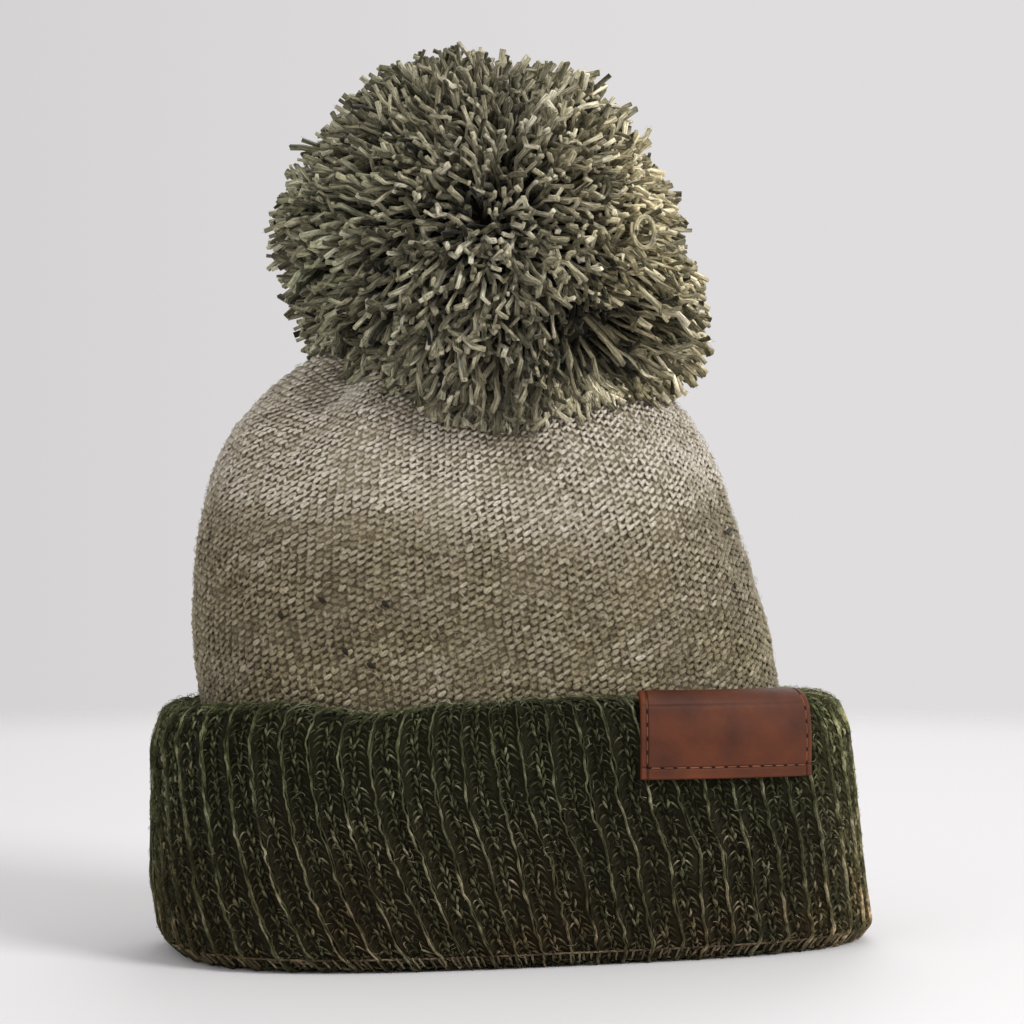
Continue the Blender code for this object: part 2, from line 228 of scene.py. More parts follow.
def oval_points(ovals, shares):
    """Points of a stack of ovals, at shares of the outline from the right over the back."""
    columns = [np.array(column, float)[:, None] for column in zip(*ovals)]
    left, right, depth, forward, squareness, turn, z = columns
    angle = np.interp(shares % 1, OUTLINE_SHARES, OUTLINE_ANGLES)[None, :]
    cosine, sine = np.cos(angle), np.sin(angle)
    power = 2 / squareness
    x = (right - left) / 2 + (right + left) / 2 * np.sign(cosine) * np.abs(cosine) ** power
    y = depth * np.sign(sine) * np.abs(sine) ** power - forward
    turn = np.radians(turn)
    return np.stack(
        [
            x * np.cos(turn) - y * np.sin(turn),
            x * np.sin(turn) + y * np.cos(turn),
            np.broadcast_to(z, x.shape),
        ],
        axis=2,
    )


def inset(oval, margin, z):
    """The oval moved inwards all round, at another height."""
    return oval._replace(
        left=oval.left - margin, right=oval.right - margin, depth=oval.depth - margin, z=z
    )


def cuff_oval(height):
    table = np.array(CUFF_SECTIONS)
    section = Section(height, *(np.interp(height, table[:, 0], column) for column in table.T[1:]))
    return Oval(
        left=section.left * CUFF_WIDTH / 2,
        right=section.right * CUFF_WIDTH / 2,
        depth=section.depth * CUFF_DEPTH / 2,
        forward=0.0,
        squareness=CUFF_SQUARENESS,
        turn=section.twist * CUFF_TWIST,
        z=height * CUFF_HEIGHT,
    )


def crown_oval(place):
    section = section_between(CROWN_SECTIONS, place)
    return Oval(
        left=section.left * CROWN_WIDTH / 2,
        right=section.right * CROWN_WIDTH / 2,
        depth=section.depth * CROWN_DEPTH / 2,
        forward=CROWN_NOD * section.height**2,
        squareness=CROWN_SQUARENESS,
        turn=0.0,
        z=CROWN_RIM_HEIGHT + section.height * CROWN_HEIGHT,
    )


def crown_oval_at_z(z):
    places = np.linspace(0, len(CROWN_SECTIONS) - 1, 200)
    heights = [crown_oval(place).z for place in places]
    return crown_oval(float(np.interp(z, heights, places)))


def evenly(ovals, ease):
    """The ovals resampled one guide step apart, with corners eased over a length."""
    table = np.array(ovals, float)
    spread = np.diff(table[:, :3], axis=0).mean(axis=1)
    steps = np.hypot(np.diff(table[:, -1]), spread)
    length = np.concatenate([[0], np.cumsum(steps)])
    wanted = np.arange(0, length[-1], GUIDE_STEP)
    rows = np.stack([np.interp(wanted, length, column) for column in table.T], axis=1)
    reach = int(ease / GUIDE_STEP)
    if reach:
        window = np.hanning(2 * reach + 1)
        padded = np.pad(rows, ((reach, reach), (0, 0)), mode="reflect", reflect_type="odd")
        eased = [np.convolve(column, window / window.sum(), mode="valid") for column in padded.T]
        rows = np.stack(eased, axis=1)
    return [Oval(*row) for row in rows]


def unit(vectors):
    return vectors / np.maximum(np.linalg.norm(vectors, axis=-1, keepdims=True), 1e-12)


def length_along(line):
    """Length of a line of points from its first one to each."""
    return np.concatenate([[0], np.linalg.norm(np.diff(line, axis=0), axis=1).cumsum()])


def between_points(grid, low, first, second, up, beside):
    """Values of a grid between a row and the next, and between two columns."""
    below = grid[low, first] * (1 - beside) + grid[low, second] * beside
    above = grid[low + 1, first] * (1 - beside) + grid[low + 1, second] * beside
    return below * (1 - up) + above * up


class Guide:
    """A smooth face as a grid of points whose columns close into a ring."""

    def __init__(self, points):
        self.points = points
        along = np.roll(points, -1, axis=1) - np.roll(points, 1, axis=1)
        self.normals = unit(np.cross(along, np.gradient(points, axis=0)))
        self.length = (len(points) - 1) * GUIDE_STEP

    def at(self, distance, share):
        """Points and normals at distances up the guide and shares of the way round."""
        row = np.clip(np.asarray(distance) / GUIDE_STEP, 0, len(self.points) - 1.001)
        column = (np.asarray(share) % 1) * GUIDE_COLUMNS
        row, column = np.broadcast_arrays(row, column)
        low, first = row.astype(int), column.astype(int) % GUIDE_COLUMNS
        second = (first + 1) % GUIDE_COLUMNS
        place = (low, first, second, (row - low)[..., None], (column - np.floor(column))[..., None])
        return between_points(self.points, *place), unit(between_points(self.normals, *place))

    def pushed(self, distance, share, out):
        """Points a length outside the face, and the normals there."""
        points, normals = self.at(distance, share)
        return points + normals * np.asarray(out)[..., None], normals

    def distance_at(self, height, start=0.0):
        """Distance up the guide at which the front first rises past a height."""
        column = self.points[:, int(0.75 * GUIDE_COLUMNS), 2]
        first = int(start / GUIDE_STEP)
        return (first + int(np.argmax(column[first:] > height))) * GUIDE_STEP


COLUMN_SHARES = np.arange(GUIDE_COLUMNS) / GUIDE_COLUMNS


def cuff_guide():
    """The cuff's right side: down the head's side, round the fold and up to the roll."""
    foot, top, rim = cuff_oval(0.0), cuff_oval(1.0), crown_oval(0)
    head_side = inset(rim, KNIT_THICKNESS, CROWN_RIM_HEIGHT - SEAM_GAP)
    crown_face = inset(crown_oval_at_z(CUFF_HEIGHT), -EDGE_GAP, CUFF_HEIGHT)
    inner = [
        head_side,
        head_side._replace(z=head_side.z - SEAM_DEPTH),
        inset(foot, FOLD_WIDTH, FOLD_RISE),
        inset(foot, (FOLD_WIDTH + FLAT_WIDTH) / 2, 0.0),
        inset(foot, (FOLD_WIDTH - FLAT_WIDTH) / 2, 0.0),
    ]
    outer = [cuff_oval(section.height) for section in CUFF_SECTIONS[1:-1]]
    for roll in CUFF_ROLL:
        mixed = np.array(top) * (1 - roll.reach) + np.array(crown_face) * roll.reach
        outer.append(Oval(*mixed)._replace(z=roll.height * CUFF_HEIGHT))
    points = oval_points(evenly(inner + outer, ease=0.003), COLUMN_SHARES)
    fold = int(np.argmin(points[:, 0, 2]))
    bearings = np.degrees(np.arctan2(points[fold:, :, 0], -points[fold:, :, 1]))
    lifts = np.interp(bearings, *zip(*CUFF_LIFTS))
    points[fold:, :, 2] += CUFF_WAVE * lifts * points[fold:, :, 2] / CUFF_HEIGHT
    return Guide(points), fold * GUIDE_STEP


def dent_shares(bearing, height):
    """Depth of the crown's dents as a share of its width."""
    depth = 0.0 * bearing * height
    for dent in CROWN_DENTS:
        turn = (bearing - dent.bearing + 180) % 360 - 180
        across = np.exp(-((turn / dent.spread) ** 2))
        depth += dent.depth * across * np.exp(-(((height - dent.height) / dent.rise) ** 2))
    return depth


def crown_guide():
    """The crown's outer face, with its dents and gathers pushed in."""
    places = np.linspace(0, len(CROWN_SECTIONS) - 1, 600)
    ovals = evenly([crown_oval(place) for place in places], ease=0.0)
    plain = Guide(oval_points(ovals, COLUMN_SHARES))
    height = ((plain.points[:, :, 2] - CROWN_RIM_HEIGHT) / CROWN_HEIGHT)[:, :1]
    bearing = bearings_of(COLUMN_SHARES)[None, :]
    depth = CROWN_WIDTH * dent_shares(bearing, height)
    start = np.clip((height - GATHER_START) / (GATHER_FULL - GATHER_START), 0, 1)
    end = np.clip((1 - height) / GATHER_FADE, 0, 1)
    wave = (1 - np.cos(2 * math.pi * GATHER_COUNT * COLUMN_SHARES)) / 2
    depth += GATHER_DEPTH * start * end * wave[None, :]
    return Guide(evenly_round(plain.points - plain.normals * depth[:, :, None]))


def evenly_round(points):
    """The same face with each row's points one length apart, from the right-hand side."""
    rows = []
    for row in points:
        ring = np.concatenate([row, row[:1]])
        length = length_along(ring)
        wanted = COLUMN_SHARES * length[-1]
        rows.append(np.stack([np.interp(wanted, length, axis) for axis in ring.T], axis=1))
    return np.array(rows)


CUFF, CUFF_FOLD = cuff_guide()
CROWN = crown_guide()
CUFF_TOP = CUFF_FOLD + (CUFF.points[int(CUFF_FOLD / GUIDE_STEP) :, 0, 2].argmax()) * GUIDE_STEP


# Mesh tools


def add_mesh(name, points, quads, materials, tones=None, uvs=None, caps=None, smooth=True):
    """Object of quads, and of caps with one corner count, with a tone for each point.

    Points that would be under the table come up to it.
    """
    points = np.stack([points[:, 0], points[:, 1], np.maximum(points[:, 2], 0)], axis=1)
    mesh = bpy.data.meshes.new(name)
    loops = [quads.reshape(-1)]
    starts = [np.arange(len(quads)) * 4]
    if caps is not None:
        loops.append(caps.reshape(-1))
        starts.append(quads.size + np.arange(len(caps)) * caps.shape[1])
    loops, starts = np.concatenate(loops), np.concatenate(starts)
    mesh.vertices.add(len(points))
    mesh.vertices.foreach_set("co", points.astype(np.float32).reshape(-1))
    mesh.loops.add(len(loops))
    mesh.loops.foreach_set("vertex_index", loops.astype(np.int32))
    mesh.polygons.add(len(starts))
    mesh.polygons.foreach_set("loop_start", starts.astype(np.int32))
    if uvs is not None:
        layer = mesh.uv_layers.new(name="yarn")
        full = np.zeros((len(loops), 2), np.float32)
        full[: len(uvs)] = uvs
        layer.data.foreach_set("uv", full.reshape(-1))
    mesh.update(calc_edges=True)
    if tones is not None:
        attribute = mesh.attributes.new("tone", "FLOAT", "POINT")
        attribute.data.foreach_set("value", tones.astype(np.float32).reshape(-1))
    if smooth:
        mesh.shade_smooth()
    for material in materials:
        mesh.materials.append(material)
    obj = bpy.data.objects.new(name, mesh)
    bpy.context.scene.collection.objects.link(obj)
    return obj


def sheet_quads(rows, columns, closed):
    """Quads of a grid of points, whose columns may close into a ring."""
    row, column = np.meshgrid(
        np.arange(rows - 1), np.arange(columns if closed else columns - 1), indexing="ij"
    )
    beside = (column + 1) % columns
    quads = [
        row * columns + column,
        row * columns + beside,
        (row + 1) * columns + beside,
        (row + 1) * columns + column,
    ]
    return np.stack(quads, axis=-1).reshape(-1, 4)


def add_yarns(name, paths, outs, widths, heights, tones, section, material, closed=False):
    """Many yarns in one mesh. The paths are rows of points, with the way out at each.

    The section's points are (across, out), in half widths and half heights.
    """
    count, steps = paths.shape[:2]
    sides = unit(np.cross(np.gradient(paths, axis=1), outs))
    ups = unit(np.cross(sides, np.gradient(paths, axis=1)))
    section = np.array(section)
    corners = len(section)
    wide = np.broadcast_to(widths, (count, steps))[:, :, None, None] * section[None, None, :, :1]
    tall = np.broadcast_to(heights, (count, steps))[:, :, None, None] * section[None, None, :, 1:]
    points = paths[:, :, None] + sides[:, :, None] * wide + ups[:, :, None] * tall
    one = sheet_quads(steps, corners, closed)
    offsets = np.arange(count) * steps * corners
    quads = (one[None] + offsets[:, None, None]).reshape(-1, 4)
    reach = np.linalg.norm(np.diff(paths, axis=1), axis=2).cumsum(axis=1)
    reach = np.concatenate([np.zeros((count, 1)), reach], axis=1)
    step_row = one // corners
    around = one % corners
    spans = corners if closed else corners - 1
    turn = around + corners * ((around == 0) & (np.arange(4) % 3 > 0)) * closed
    turn = turn[None] / spans * np.ones((count, 1, 1))
    along = reach[:, step_row]
    uvs = np.stack([turn, along], axis=-1).reshape(-1, 2)
    caps = None
    if closed:
        ring = np.arange(corners)
        last = (steps - 1) * corners + ring
        caps = (last[None] + offsets[:, None]).reshape(-1, corners)
    tones = np.broadcast_to(tones, (count, steps))[:, :, None] * np.ones((1, 1, corners))
    return add_mesh(name, points.reshape(-1, 3), quads, [material], tones, uvs, caps)


def finish_piece(obj, node):
    """The piece stands for its CAD node and moves with the hat."""
    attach(obj, "root")
    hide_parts(node)


# Materials


def linear(red, green, blue):
    """Linear colour of an sRGB colour given in 255ths."""
    values = np.array([red, green, blue]) / 255
    return tuple(np.where(values <= 0.04045, values / 12.92, ((values + 0.055) / 1.055) ** 2.4))


class Nodes:
    """Short way to add shader nodes and link them."""

    def __init__(self, name, roughness, sheen, sheen_tint, specular=0.25):
        self.material = bpy.data.materials.new(name)
        self.material.use_nodes = True
        self.tree = self.material.node_tree
        self.shader = self.tree.nodes["Principled BSDF"]
        self.shader.inputs["Roughness"].default_value = roughness
        self.shader.inputs["Specular IOR Level"].default_value = specular
        self.shader.inputs["Sheen Weight"].default_value = sheen
        self.shader.inputs["Sheen Roughness"].default_value = 0.5
        self.shader.inputs["Sheen Tint"].default_value = (*sheen_tint, 1)

    def add(self, kind, inputs=None, **settings):
        node = self.tree.nodes.new("ShaderNode" + kind)
        for key, value in settings.items():
            setattr(node, key, value)
        for key, value in (inputs or {}).items():
            if isinstance(value, bpy.types.NodeSocket):
                self.tree.links.new(value, node.inputs[key])
            else:
                node.inputs[key].default_value = value
        return node

    def link(self, output, input_name):
        self.tree.links.new(output, self.shader.inputs[input_name])

    def math(self, operation, first, second=0.0):
        return self.add("Math", {0: first, 1: second}, operation=operation).outputs[0]

    def noise(self, vector, scale, detail=2.0, roughness=0.5):
        inputs = {"Vector": vector, "Scale": scale, "Detail": detail, "Roughness": roughness}
        return self.add("TexNoise", inputs).outputs["Fac"]

    def stretched(self, vector, scale):
        return self.add("Mapping", {"Vector": vector, "Scale": scale}).outputs["Vector"]

    def ramp(self, value, stops):
        node = self.add("ValToRGB", {"Fac": value})
        ramp = node.color_ramp
        while len(ramp.elements) < len(stops):
            ramp.elements.new(1.0)
        for element, (place, colour) in zip(ramp.elements, stops):
            element.position = place
            element.color = (*colour, 1)
        return node.outputs["Color"]

    def mix(self, factor, first, second, blend="MIX"):
        """Mix two colours, through the sockets that the mix node keeps for colours."""
        first, second = ((*end, 1) if isinstance(end, tuple) else end for end in (first, second))
        inputs = {0: factor, 6: first, 7: second}
        return self.add("Mix", inputs, data_type="RGBA", blend_type=blend).outputs[2]

    def between(self, value, start, end, low=0.0):
        """The value brought to a share, from a low one at the start up to 1 at the end."""
        limits = {"Value": value, "From Min": start, "From Max": end, "To Min": low}
        return self.add("MapRange", limits).outputs["Result"]

    def bump(self, height, distance, strength, under=None):
        inputs = {"Height": height, "Distance": distance, "Strength": strength}
        if under is not None:
            inputs["Normal"] = under
        return self.add("Bump", inputs).outputs["Normal"]


# Noise scales, as features to a metre or round a yarn, and depths of plies and fibres
PATCH_SCALE = 60.0
BLOTCH_SCALE = 900.0
WALL_FIBRE_SCALE = 2200.0
STREAKS_ROUND_YARN = 9.0
PLY_DEPTH = 0.00025
FIBRE_DEPTH = 0.00015
WALL_FIBRE_DEPTH = 0.0004

# A tint grows from the start to the end along an axis, and then keeps its full weight
Tint = namedtuple("Tint", "axis start end colour weight")


def tinted(nodes, place, colour, tints):
    """The colour with patches of each tint, more and more along a stretch of an axis."""
    for tint in tints:
        along = nodes.add("SeparateXYZ", {"Vector": place}).outputs[tint.axis]
        rise = nodes.between(along, tint.start, tint.end)
        patches = nodes.between(nodes.noise(place, PATCH_SCALE), 0.40, 0.60, low=0.25)
        weight = nodes.math("MULTIPLY", nodes.math("MULTIPLY", rise, patches), tint.weight)
        colour = nodes.mix(weight, colour, tint.colour, "MULTIPLY")
    return colour


def yarn_material(
    name, stops, plies, twist, tints=(), sheen=0.35, fibre_tint=(0.8, 0.8, 0.7), streak=0.0014
):
    """Twisted wool yarn: the tone of each point picks its colour, fibres roughen it."""
    nodes = Nodes(name, roughness=0.92, sheen=sheen, sheen_tint=fibre_tint, specular=0.15)
    tone = nodes.add("Attribute", attribute_name="tone").outputs["Fac"]
    place = nodes.add("TexCoord").outputs["Object"]
    yarn = nodes.add("UVMap", uv_map="yarn").outputs["UV"]
    parts = nodes.add("SeparateXYZ", {"Vector": yarn})
    around, along = parts.outputs["X"], parts.outputs["Y"]
    blotch = nodes.math("SUBTRACT", nodes.noise(place, BLOTCH_SCALE), 0.5)
    tone = nodes.math("ADD", tone, nodes.math("MULTIPLY", blotch, 0.35))
    colour = tinted(nodes, place, nodes.ramp(tone, stops), tints)
    around_streaks = nodes.math("MULTIPLY", around, STREAKS_ROUND_YARN)
    lines = nodes.add("CombineXYZ", {"X": around_streaks, "Y": along, "Z": tone}).outputs[0]
    fibres = nodes.noise(nodes.stretched(lines, (1.0, 1 / streak, 3.0)), 1.0, detail=3.0)
    light = nodes.between(fibres, 0.36, 0.60)
    colour = nodes.mix(light, nodes.mix(0.62, colour, (0, 0, 0), "MULTIPLY"), colour)
    nodes.link(colour, "Base Color")
    turns_round = nodes.math("MULTIPLY", around, float(plies))
    turns = nodes.math("ADD", turns_round, nodes.math("DIVIDE", along, twist))
    ply = nodes.math("ABSOLUTE", nodes.math("SINE", nodes.math("MULTIPLY", turns, math.pi)))
    grooved = nodes.bump(ply, PLY_DEPTH, 0.7)
    nodes.link(nodes.bump(fibres, FIBRE_DEPTH, 0.8, under=grooved), "Normal")
    return nodes.material


def wall_material(name, dark, light, tints=()):
    """The knit seen between its stitches and on its head side, given colours darker than the yarn over
    it: painted shade in the gaps.
    """
    nodes = Nodes(name, roughness=0.97, sheen=0.1, sheen_tint=(0.6, 0.6, 0.5), specular=0.1)
    place = nodes.add("TexCoord").outputs["Object"]
    tone = nodes.add("Attribute", attribute_name="tone").outputs["Fac"]
    fibres = nodes.noise(place, WALL_FIBRE_SCALE, detail=3.0)
    mixed = nodes.math("ADD", nodes.math("MULTIPLY", tone, 0.7), nodes.math("MULTIPLY", fibres, 0.5))
    colour = nodes.ramp(mixed, ((0.15, dark), (0.95, light)))
    nodes.link(tinted(nodes, place, colour, tints), "Base Color")
    nodes.link(nodes.bump(fibres, WALL_FIBRE_DEPTH, 0.8), "Normal")
    return nodes.material


# Colours, as sRGB values in 255ths
CROWN_STOPS = (
    (0.00, linear(42, 35, 23)),
    (0.30, linear(102, 91, 68)),
    (0.55, linear(150, 138, 114)),
    (0.80, linear(190, 179, 159)),
    (1.00, linear(224, 215, 199)),
)
CUFF_STOPS = (
    (0.00, linear(12, 11, 5)),
    (0.30, linear(42, 42, 24)),
    (0.60, linear(80, 82, 56)),
    (0.85, linear(138, 134, 106)),
    (1.00, linear(184, 176, 150)),
)
EDGE_STOPS = (
    (0.00, linear(40, 22, 16)),
    (0.50, linear(104, 88, 66)),
    (1.00, linear(158, 142, 114)),
)
POMPOM_STOPS = (
    (0.00, linear(24, 22, 14)),
    (0.30, linear(82, 78, 58)),
    (0.55, linear(134, 128, 103)),
    (0.80, linear(186, 179, 150)),
    (1.00, linear(216, 210, 186)),
)


def smooth_noise(shape, reach, seed):
    """Random values from -1 to 1 that change slowly over a reach along each axis."""
    rng = np.random.default_rng(seed)
    values = rng.normal(size=shape)
    for axis, length in enumerate(reach):
        if length > 1:
            frequency = np.fft.fftfreq(shape[axis])
            fade = np.exp(-((frequency * length) ** 2) * 4)
            bent = np.moveaxis(np.fft.fft(values, axis=axis), axis, -1) * fade
            values = np.fft.ifft(np.moveaxis(bent, -1, axis), axis=axis).real
    return np.clip(values / values.std() / 2, -1, 1)


def add_fibres(name, guide, low, high, count, length, reach, material, seed):
    """Loose single fibres that arch out of a knit, between two distances up its guide."""
    rng = np.random.default_rng(seed)
    middle = guide.points[len(guide.points) // 2]
    round_length = np.linalg.norm(middle - np.roll(middle, 1, axis=0), axis=1).sum()
    steps = np.linspace(0, 1, 4)[None, :]
    heading = rng.uniform(0, 2 * math.pi, (count, 1)) + rng.normal(0, 0.8, (count, 1)) * steps
    size = length * rng.uniform(0.5, 1.4, (count, 1))
    distance = rng.uniform(low, high, (count, 1)) + size * steps * np.sin(heading)
    share = rng.uniform(0, 1, (count, 1)) + size * steps * np.cos(heading) / round_length
    out = reach * rng.uniform(0.2, 1, (count, 1)) * np.sin(steps * rng.uniform(1.6, 3.1, (count, 1)))
    paths, normals = guide.pushed(distance, share, out)
    facing = unit(normals + 0.8 * rng.normal(size=(count, 1, 3)))
    tones = rng.uniform(0.55, 1.0, (count, 1))
    width = FIBRE_HALF_WIDTH * np.array((1.0, 1.0, 0.8, 0.4))
    return add_yarns(name, paths, facing, width, 0.0, tones, ((-1, 0), (1, 0)), material)


FIBRE_HALF_WIDTH = 0.00007

# The crown's stitches: the two legs of a V, in shares of a wale and of a course
WALE_COUNT = 180
COURSE_RISE = 0.00215
CROWN_FIRST_STITCH = 0.010
CROWN_LAST_HEIGHT = 0.188
Leg = namedtuple("Leg", "across along out width tone")
# The legs' tones are painted shade: darker at their ends, where they dip in, and all along the falling
# leg, which lies lower
RISING_LEG = (
    Leg(across=-0.42, along=-0.34, out=-0.00028, width=0.80, tone=-0.08),
    Leg(across=-0.10, along=-0.10, out=0.00008, width=1.00, tone=0.04),
    Leg(across=0.26, along=0.17, out=0.00012, width=1.00, tone=0.05),
    Leg(across=0.62, along=0.44, out=-0.00034, width=0.75, tone=-0.08),
)
FALLING_LEG = (
    Leg(across=-0.02, along=-0.44, out=-0.00080, width=0.70, tone=-0.20),
    Leg(across=-0.18, along=-0.08, out=-0.00026, width=0.95, tone=-0.06),
    Leg(across=-0.30, along=0.34, out=-0.00020, width=0.95, tone=-0.05),
    Leg(across=-0.34, along=0.76, out=-0.00080, width=0.65, tone=-0.20),
)
LEG_HALF_WIDTH_SHARE = 0.235
LEG_HEIGHT = 0.00060
FIRST_COURSE = 0.3
Jitter = namedtuple("Jitter", "across along out width tone")
CROWN_JITTER = Jitter(across=0.08, along=0.09, out=0.00016, width=0.14, tone=0.07)

# How far stitches stray together: outwards, and sideways in wales and courses
STITCH_LUMP = 0.00045
STITCH_SWAY = 0.55

# The wall under the stitches, which is light above a height that it fades over
CROWN_WALL_DEPTH = 0.0011
CROWN_WALL_FADE = (0.120, 0.145)
CROWN_WALL_RIBS = 0.0002

# Each wale starts this share of a course above its left neighbour, so that the rising
# legs join into long slanting lines. The wale count makes the steps close up
WALE_STEP = 0.75
DOME = ((-1.0, -1.0), (0.0, 0.0), (1.0, -1.0))

# Dark and light slubs in the crown's yarn, on its front
Slub = namedtuple("Slub", "x z turn tone")
SLUBS = (
    Slub(x=-0.0614, z=0.1072, turn=-35, tone=-0.6),
    Slub(x=-0.0430, z=0.1060, turn=-50, tone=-0.6),
    Slub(x=-0.0547, z=0.0922, turn=-60, tone=-0.6),
    Slub(x=-0.0471, z=0.0880, turn=-30, tone=-0.6),
    Slub(x=-0.0734, z=0.1026, turn=-70, tone=-0.4),
    Slub(x=0.0648, z=0.1280, turn=20, tone=-0.4),
    Slub(x=0.0326, z=0.0900, turn=15, tone=0.9),
)
SLUB_LENGTH = 0.0030
SLUB_OUT = 0.0009
SLUB_HALF_WIDTH = 0.0008
SLUB_HEIGHT = 0.0005


# The crown's tones. The border between light and dark dips at the front
BORDER_HEIGHT = 0.139
BORDER_DIP = 0.016
BORDER_SPREAD = 0.0026
TONE_BELOW = 0.53
TONE_RISE_ABOVE = 0.34
PAINTED_SHADE_IN_DENTS = -2.5
Patch = namedtuple("Patch", "reach seed weight")
CROWN_PATCHES = (
    Patch(reach=(1, 10), seed=3, weight=0.03),
    Patch(reach=(10, 12), seed=4, weight=0.06),
    Patch(reach=(2, 2), seed=6, weight=0.07),
    Patch(reach=(1, 1), seed=5, weight=0.09),
)
CROWN_TINTS = (Tint(axis="Z", start=0.15, end=0.09, colour=(1.0, 1.0, 0.86), weight=1.0),)


def crown_tone(points):
    """Tone of each stitch: light above the border, darker below, in soft patches, with painted shade in
    the dents and painted light on the bulges.
    """
    bearing = np.arctan2(points[..., 0], -points[..., 1])
    border = BORDER_HEIGHT - BORDER_DIP * np.clip(np.cos(bearing), 0, 1) ** 1.5
    above = 1 / (1 + np.exp(-(points[..., 2] - border) / BORDER_SPREAD))
    height = (points[..., 2] - CROWN_RIM_HEIGHT) / CROWN_HEIGHT
    # Painted shade in the dents and painted light on the bulges
    form = PAINTED_SHADE_IN_DENTS * dent_shares(np.degrees(bearing), height)
    patches = sum(
        patch.weight * smooth_noise(points.shape[:2], patch.reach, patch.seed) for patch in CROWN_PATCHES
    )
    return TONE_BELOW + TONE_RISE_ABOVE * above + form + patches


def make_crown():
    first, last = CROWN_FIRST_STITCH, CROWN.distance_at(CROWN_LAST_HEIGHT)
    courses = int((last - first) / COURSE_RISE)
    shape = (courses, WALE_COUNT)
    course, wale = np.meshgrid(np.arange(courses), np.arange(WALE_COUNT), indexing="ij")
    centres, _ = CROWN.at(first + (course + FIRST_COURSE) * COURSE_RISE, (wale + 0.5) / WALE_COUNT)
    tone = crown_tone(centres)[..., None]
    width = np.linalg.norm(np.roll(centres, -1, axis=1) - centres, axis=2)[..., None]
    lumps = STITCH_LUMP * smooth_noise(shape, (2, 2), seed=22)[..., None]
    sway = STITCH_SWAY * smooth_noise(shape, (9, 9), seed=23)[..., None]
    wale_start = (wale[..., None] * WALE_STEP) % 1
    rng = np.random.default_rng(21)
    legs = []
    for table in (FALLING_LEG, RISING_LEG):
        leg = Leg(*np.array(table).T)
        jitter = rng.normal(size=(3, *shape, 1))
        across = leg.across + CROWN_JITTER.across * jitter[0]
        along = leg.along + CROWN_JITTER.along * jitter[1]
        share = (wale[..., None] + 0.5 + sway + across) / WALE_COUNT
        rise = course[..., None] + FIRST_COURSE + wale_start + sway + along
        raised = leg.out + lumps + CROWN_JITTER.out * jitter[2]
        paths, normals = CROWN.pushed(first + rise * COURSE_RISE, share, raised)
        wider = 1 + CROWN_JITTER.width * jitter[1]
        half_width = LEG_HALF_WIDTH_SHARE * width * leg.width * wider
        legs.append((paths, normals, half_width, tone + leg.tone + CROWN_JITTER.tone * jitter[2]))
    parts = [np.stack(kind, axis=2) for kind in zip(*legs)]
    split = courses // 2
    material = yarn_material("crown_yarn", CROWN_STOPS, plies=1, twist=0.004, tints=CROWN_TINTS)
    for name, rows in (("crown_lower", slice(0, split)), ("crown_upper", slice(split, courses))):
        paths, normals, half_width, tones = (
            part[rows].reshape(-1, len(RISING_LEG), *part.shape[4:]) for part in parts
        )
        stitches = add_yarns(name, paths, normals, half_width, LEG_HEIGHT, tones, DOME, material)
        finish_piece(stitches, "crown")
    fibres = add_fibres(
        "crown_fibres", CROWN, first, last, count=5200, length=0.0024, reach=0.0010,
        material=material, seed=24,
    )
    finish_piece(fibres, "crown")
    make_slubs(material)
    make_crown_wall()


def make_slubs(material):
    """Short thick bits of dark or light wool that lie in the crown's front."""
    tree = crown_tree()
    paths, outs, tones = [], [], []
    for slub in SLUBS:
        turn = math.radians(slub.turn)
        path, out = [], []
        for step in (-0.5, -0.2, 0.2, 0.5):
            x = slub.x + step * SLUB_LENGTH * math.cos(turn)
            z = slub.z + step * SLUB_LENGTH * math.sin(turn)
            spot, normal, _, _ = tree.ray_cast(Vector((x, -CUFF_DEPTH, z)), Vector((0, 1, 0)))
            path.append(spot + normal * SLUB_OUT)
            out.append(normal)
        paths.append(path)
        outs.append(out)
        tones.append([slub.tone])
    width = SLUB_HALF_WIDTH * np.array((0.4, 1.0, 0.9, 0.3))
    paths, outs, tones = np.array(paths), np.array(outs), np.array(tones)
    piece = add_yarns("crown_slubs", paths, outs, width, SLUB_HEIGHT, tones, DOME, material)
    finish_piece(piece, "crown")


def make_crown_wall():
    """The knit under the stitches, closed over the top, with its head side."""
    rows, columns = 40, 256
    distance = np.linspace(0, CROWN.length, rows)[:, None]
    share = (np.arange(columns) / columns)[None, :]
    outer, normals = CROWN.pushed(distance, share, np.full((rows, columns), -CROWN_WALL_DEPTH))
    ribbed = CROWN_WALL_RIBS * np.cos(np.arange(columns) * math.pi)[None, :, None]
    inner = outer - normals * (KNIT_THICKNESS - CROWN_WALL_DEPTH + ribbed)
    points = np.concatenate([inner[::-1], outer]).reshape(-1, 3)
    quads = sheet_quads(2 * rows, columns, closed=True)
    quads = quads[(quads[:, 0] // columns) != rows - 1]
    rim = sheet_quads(2, columns, closed=True)
    rim = np.where(rim >= columns, rim - columns + rows * columns, rim + (rows - 1) * columns)
    caps = np.stack([np.arange(columns)[::-1], np.arange(columns) + (2 * rows - 1) * columns])
    tones = np.interp(points[:, 2], CROWN_WALL_FADE, (0.35, 0.80))
    # Darker than the crown's yarn: painted shade between the stitches
    material = wall_material("crown_wall", linear(44, 37, 25), linear(128, 117, 96))
    wall = add_mesh("crown_wall", points, np.concatenate([quads, rim]), [material], tones, caps=caps)
    finish_piece(wall, "crown")


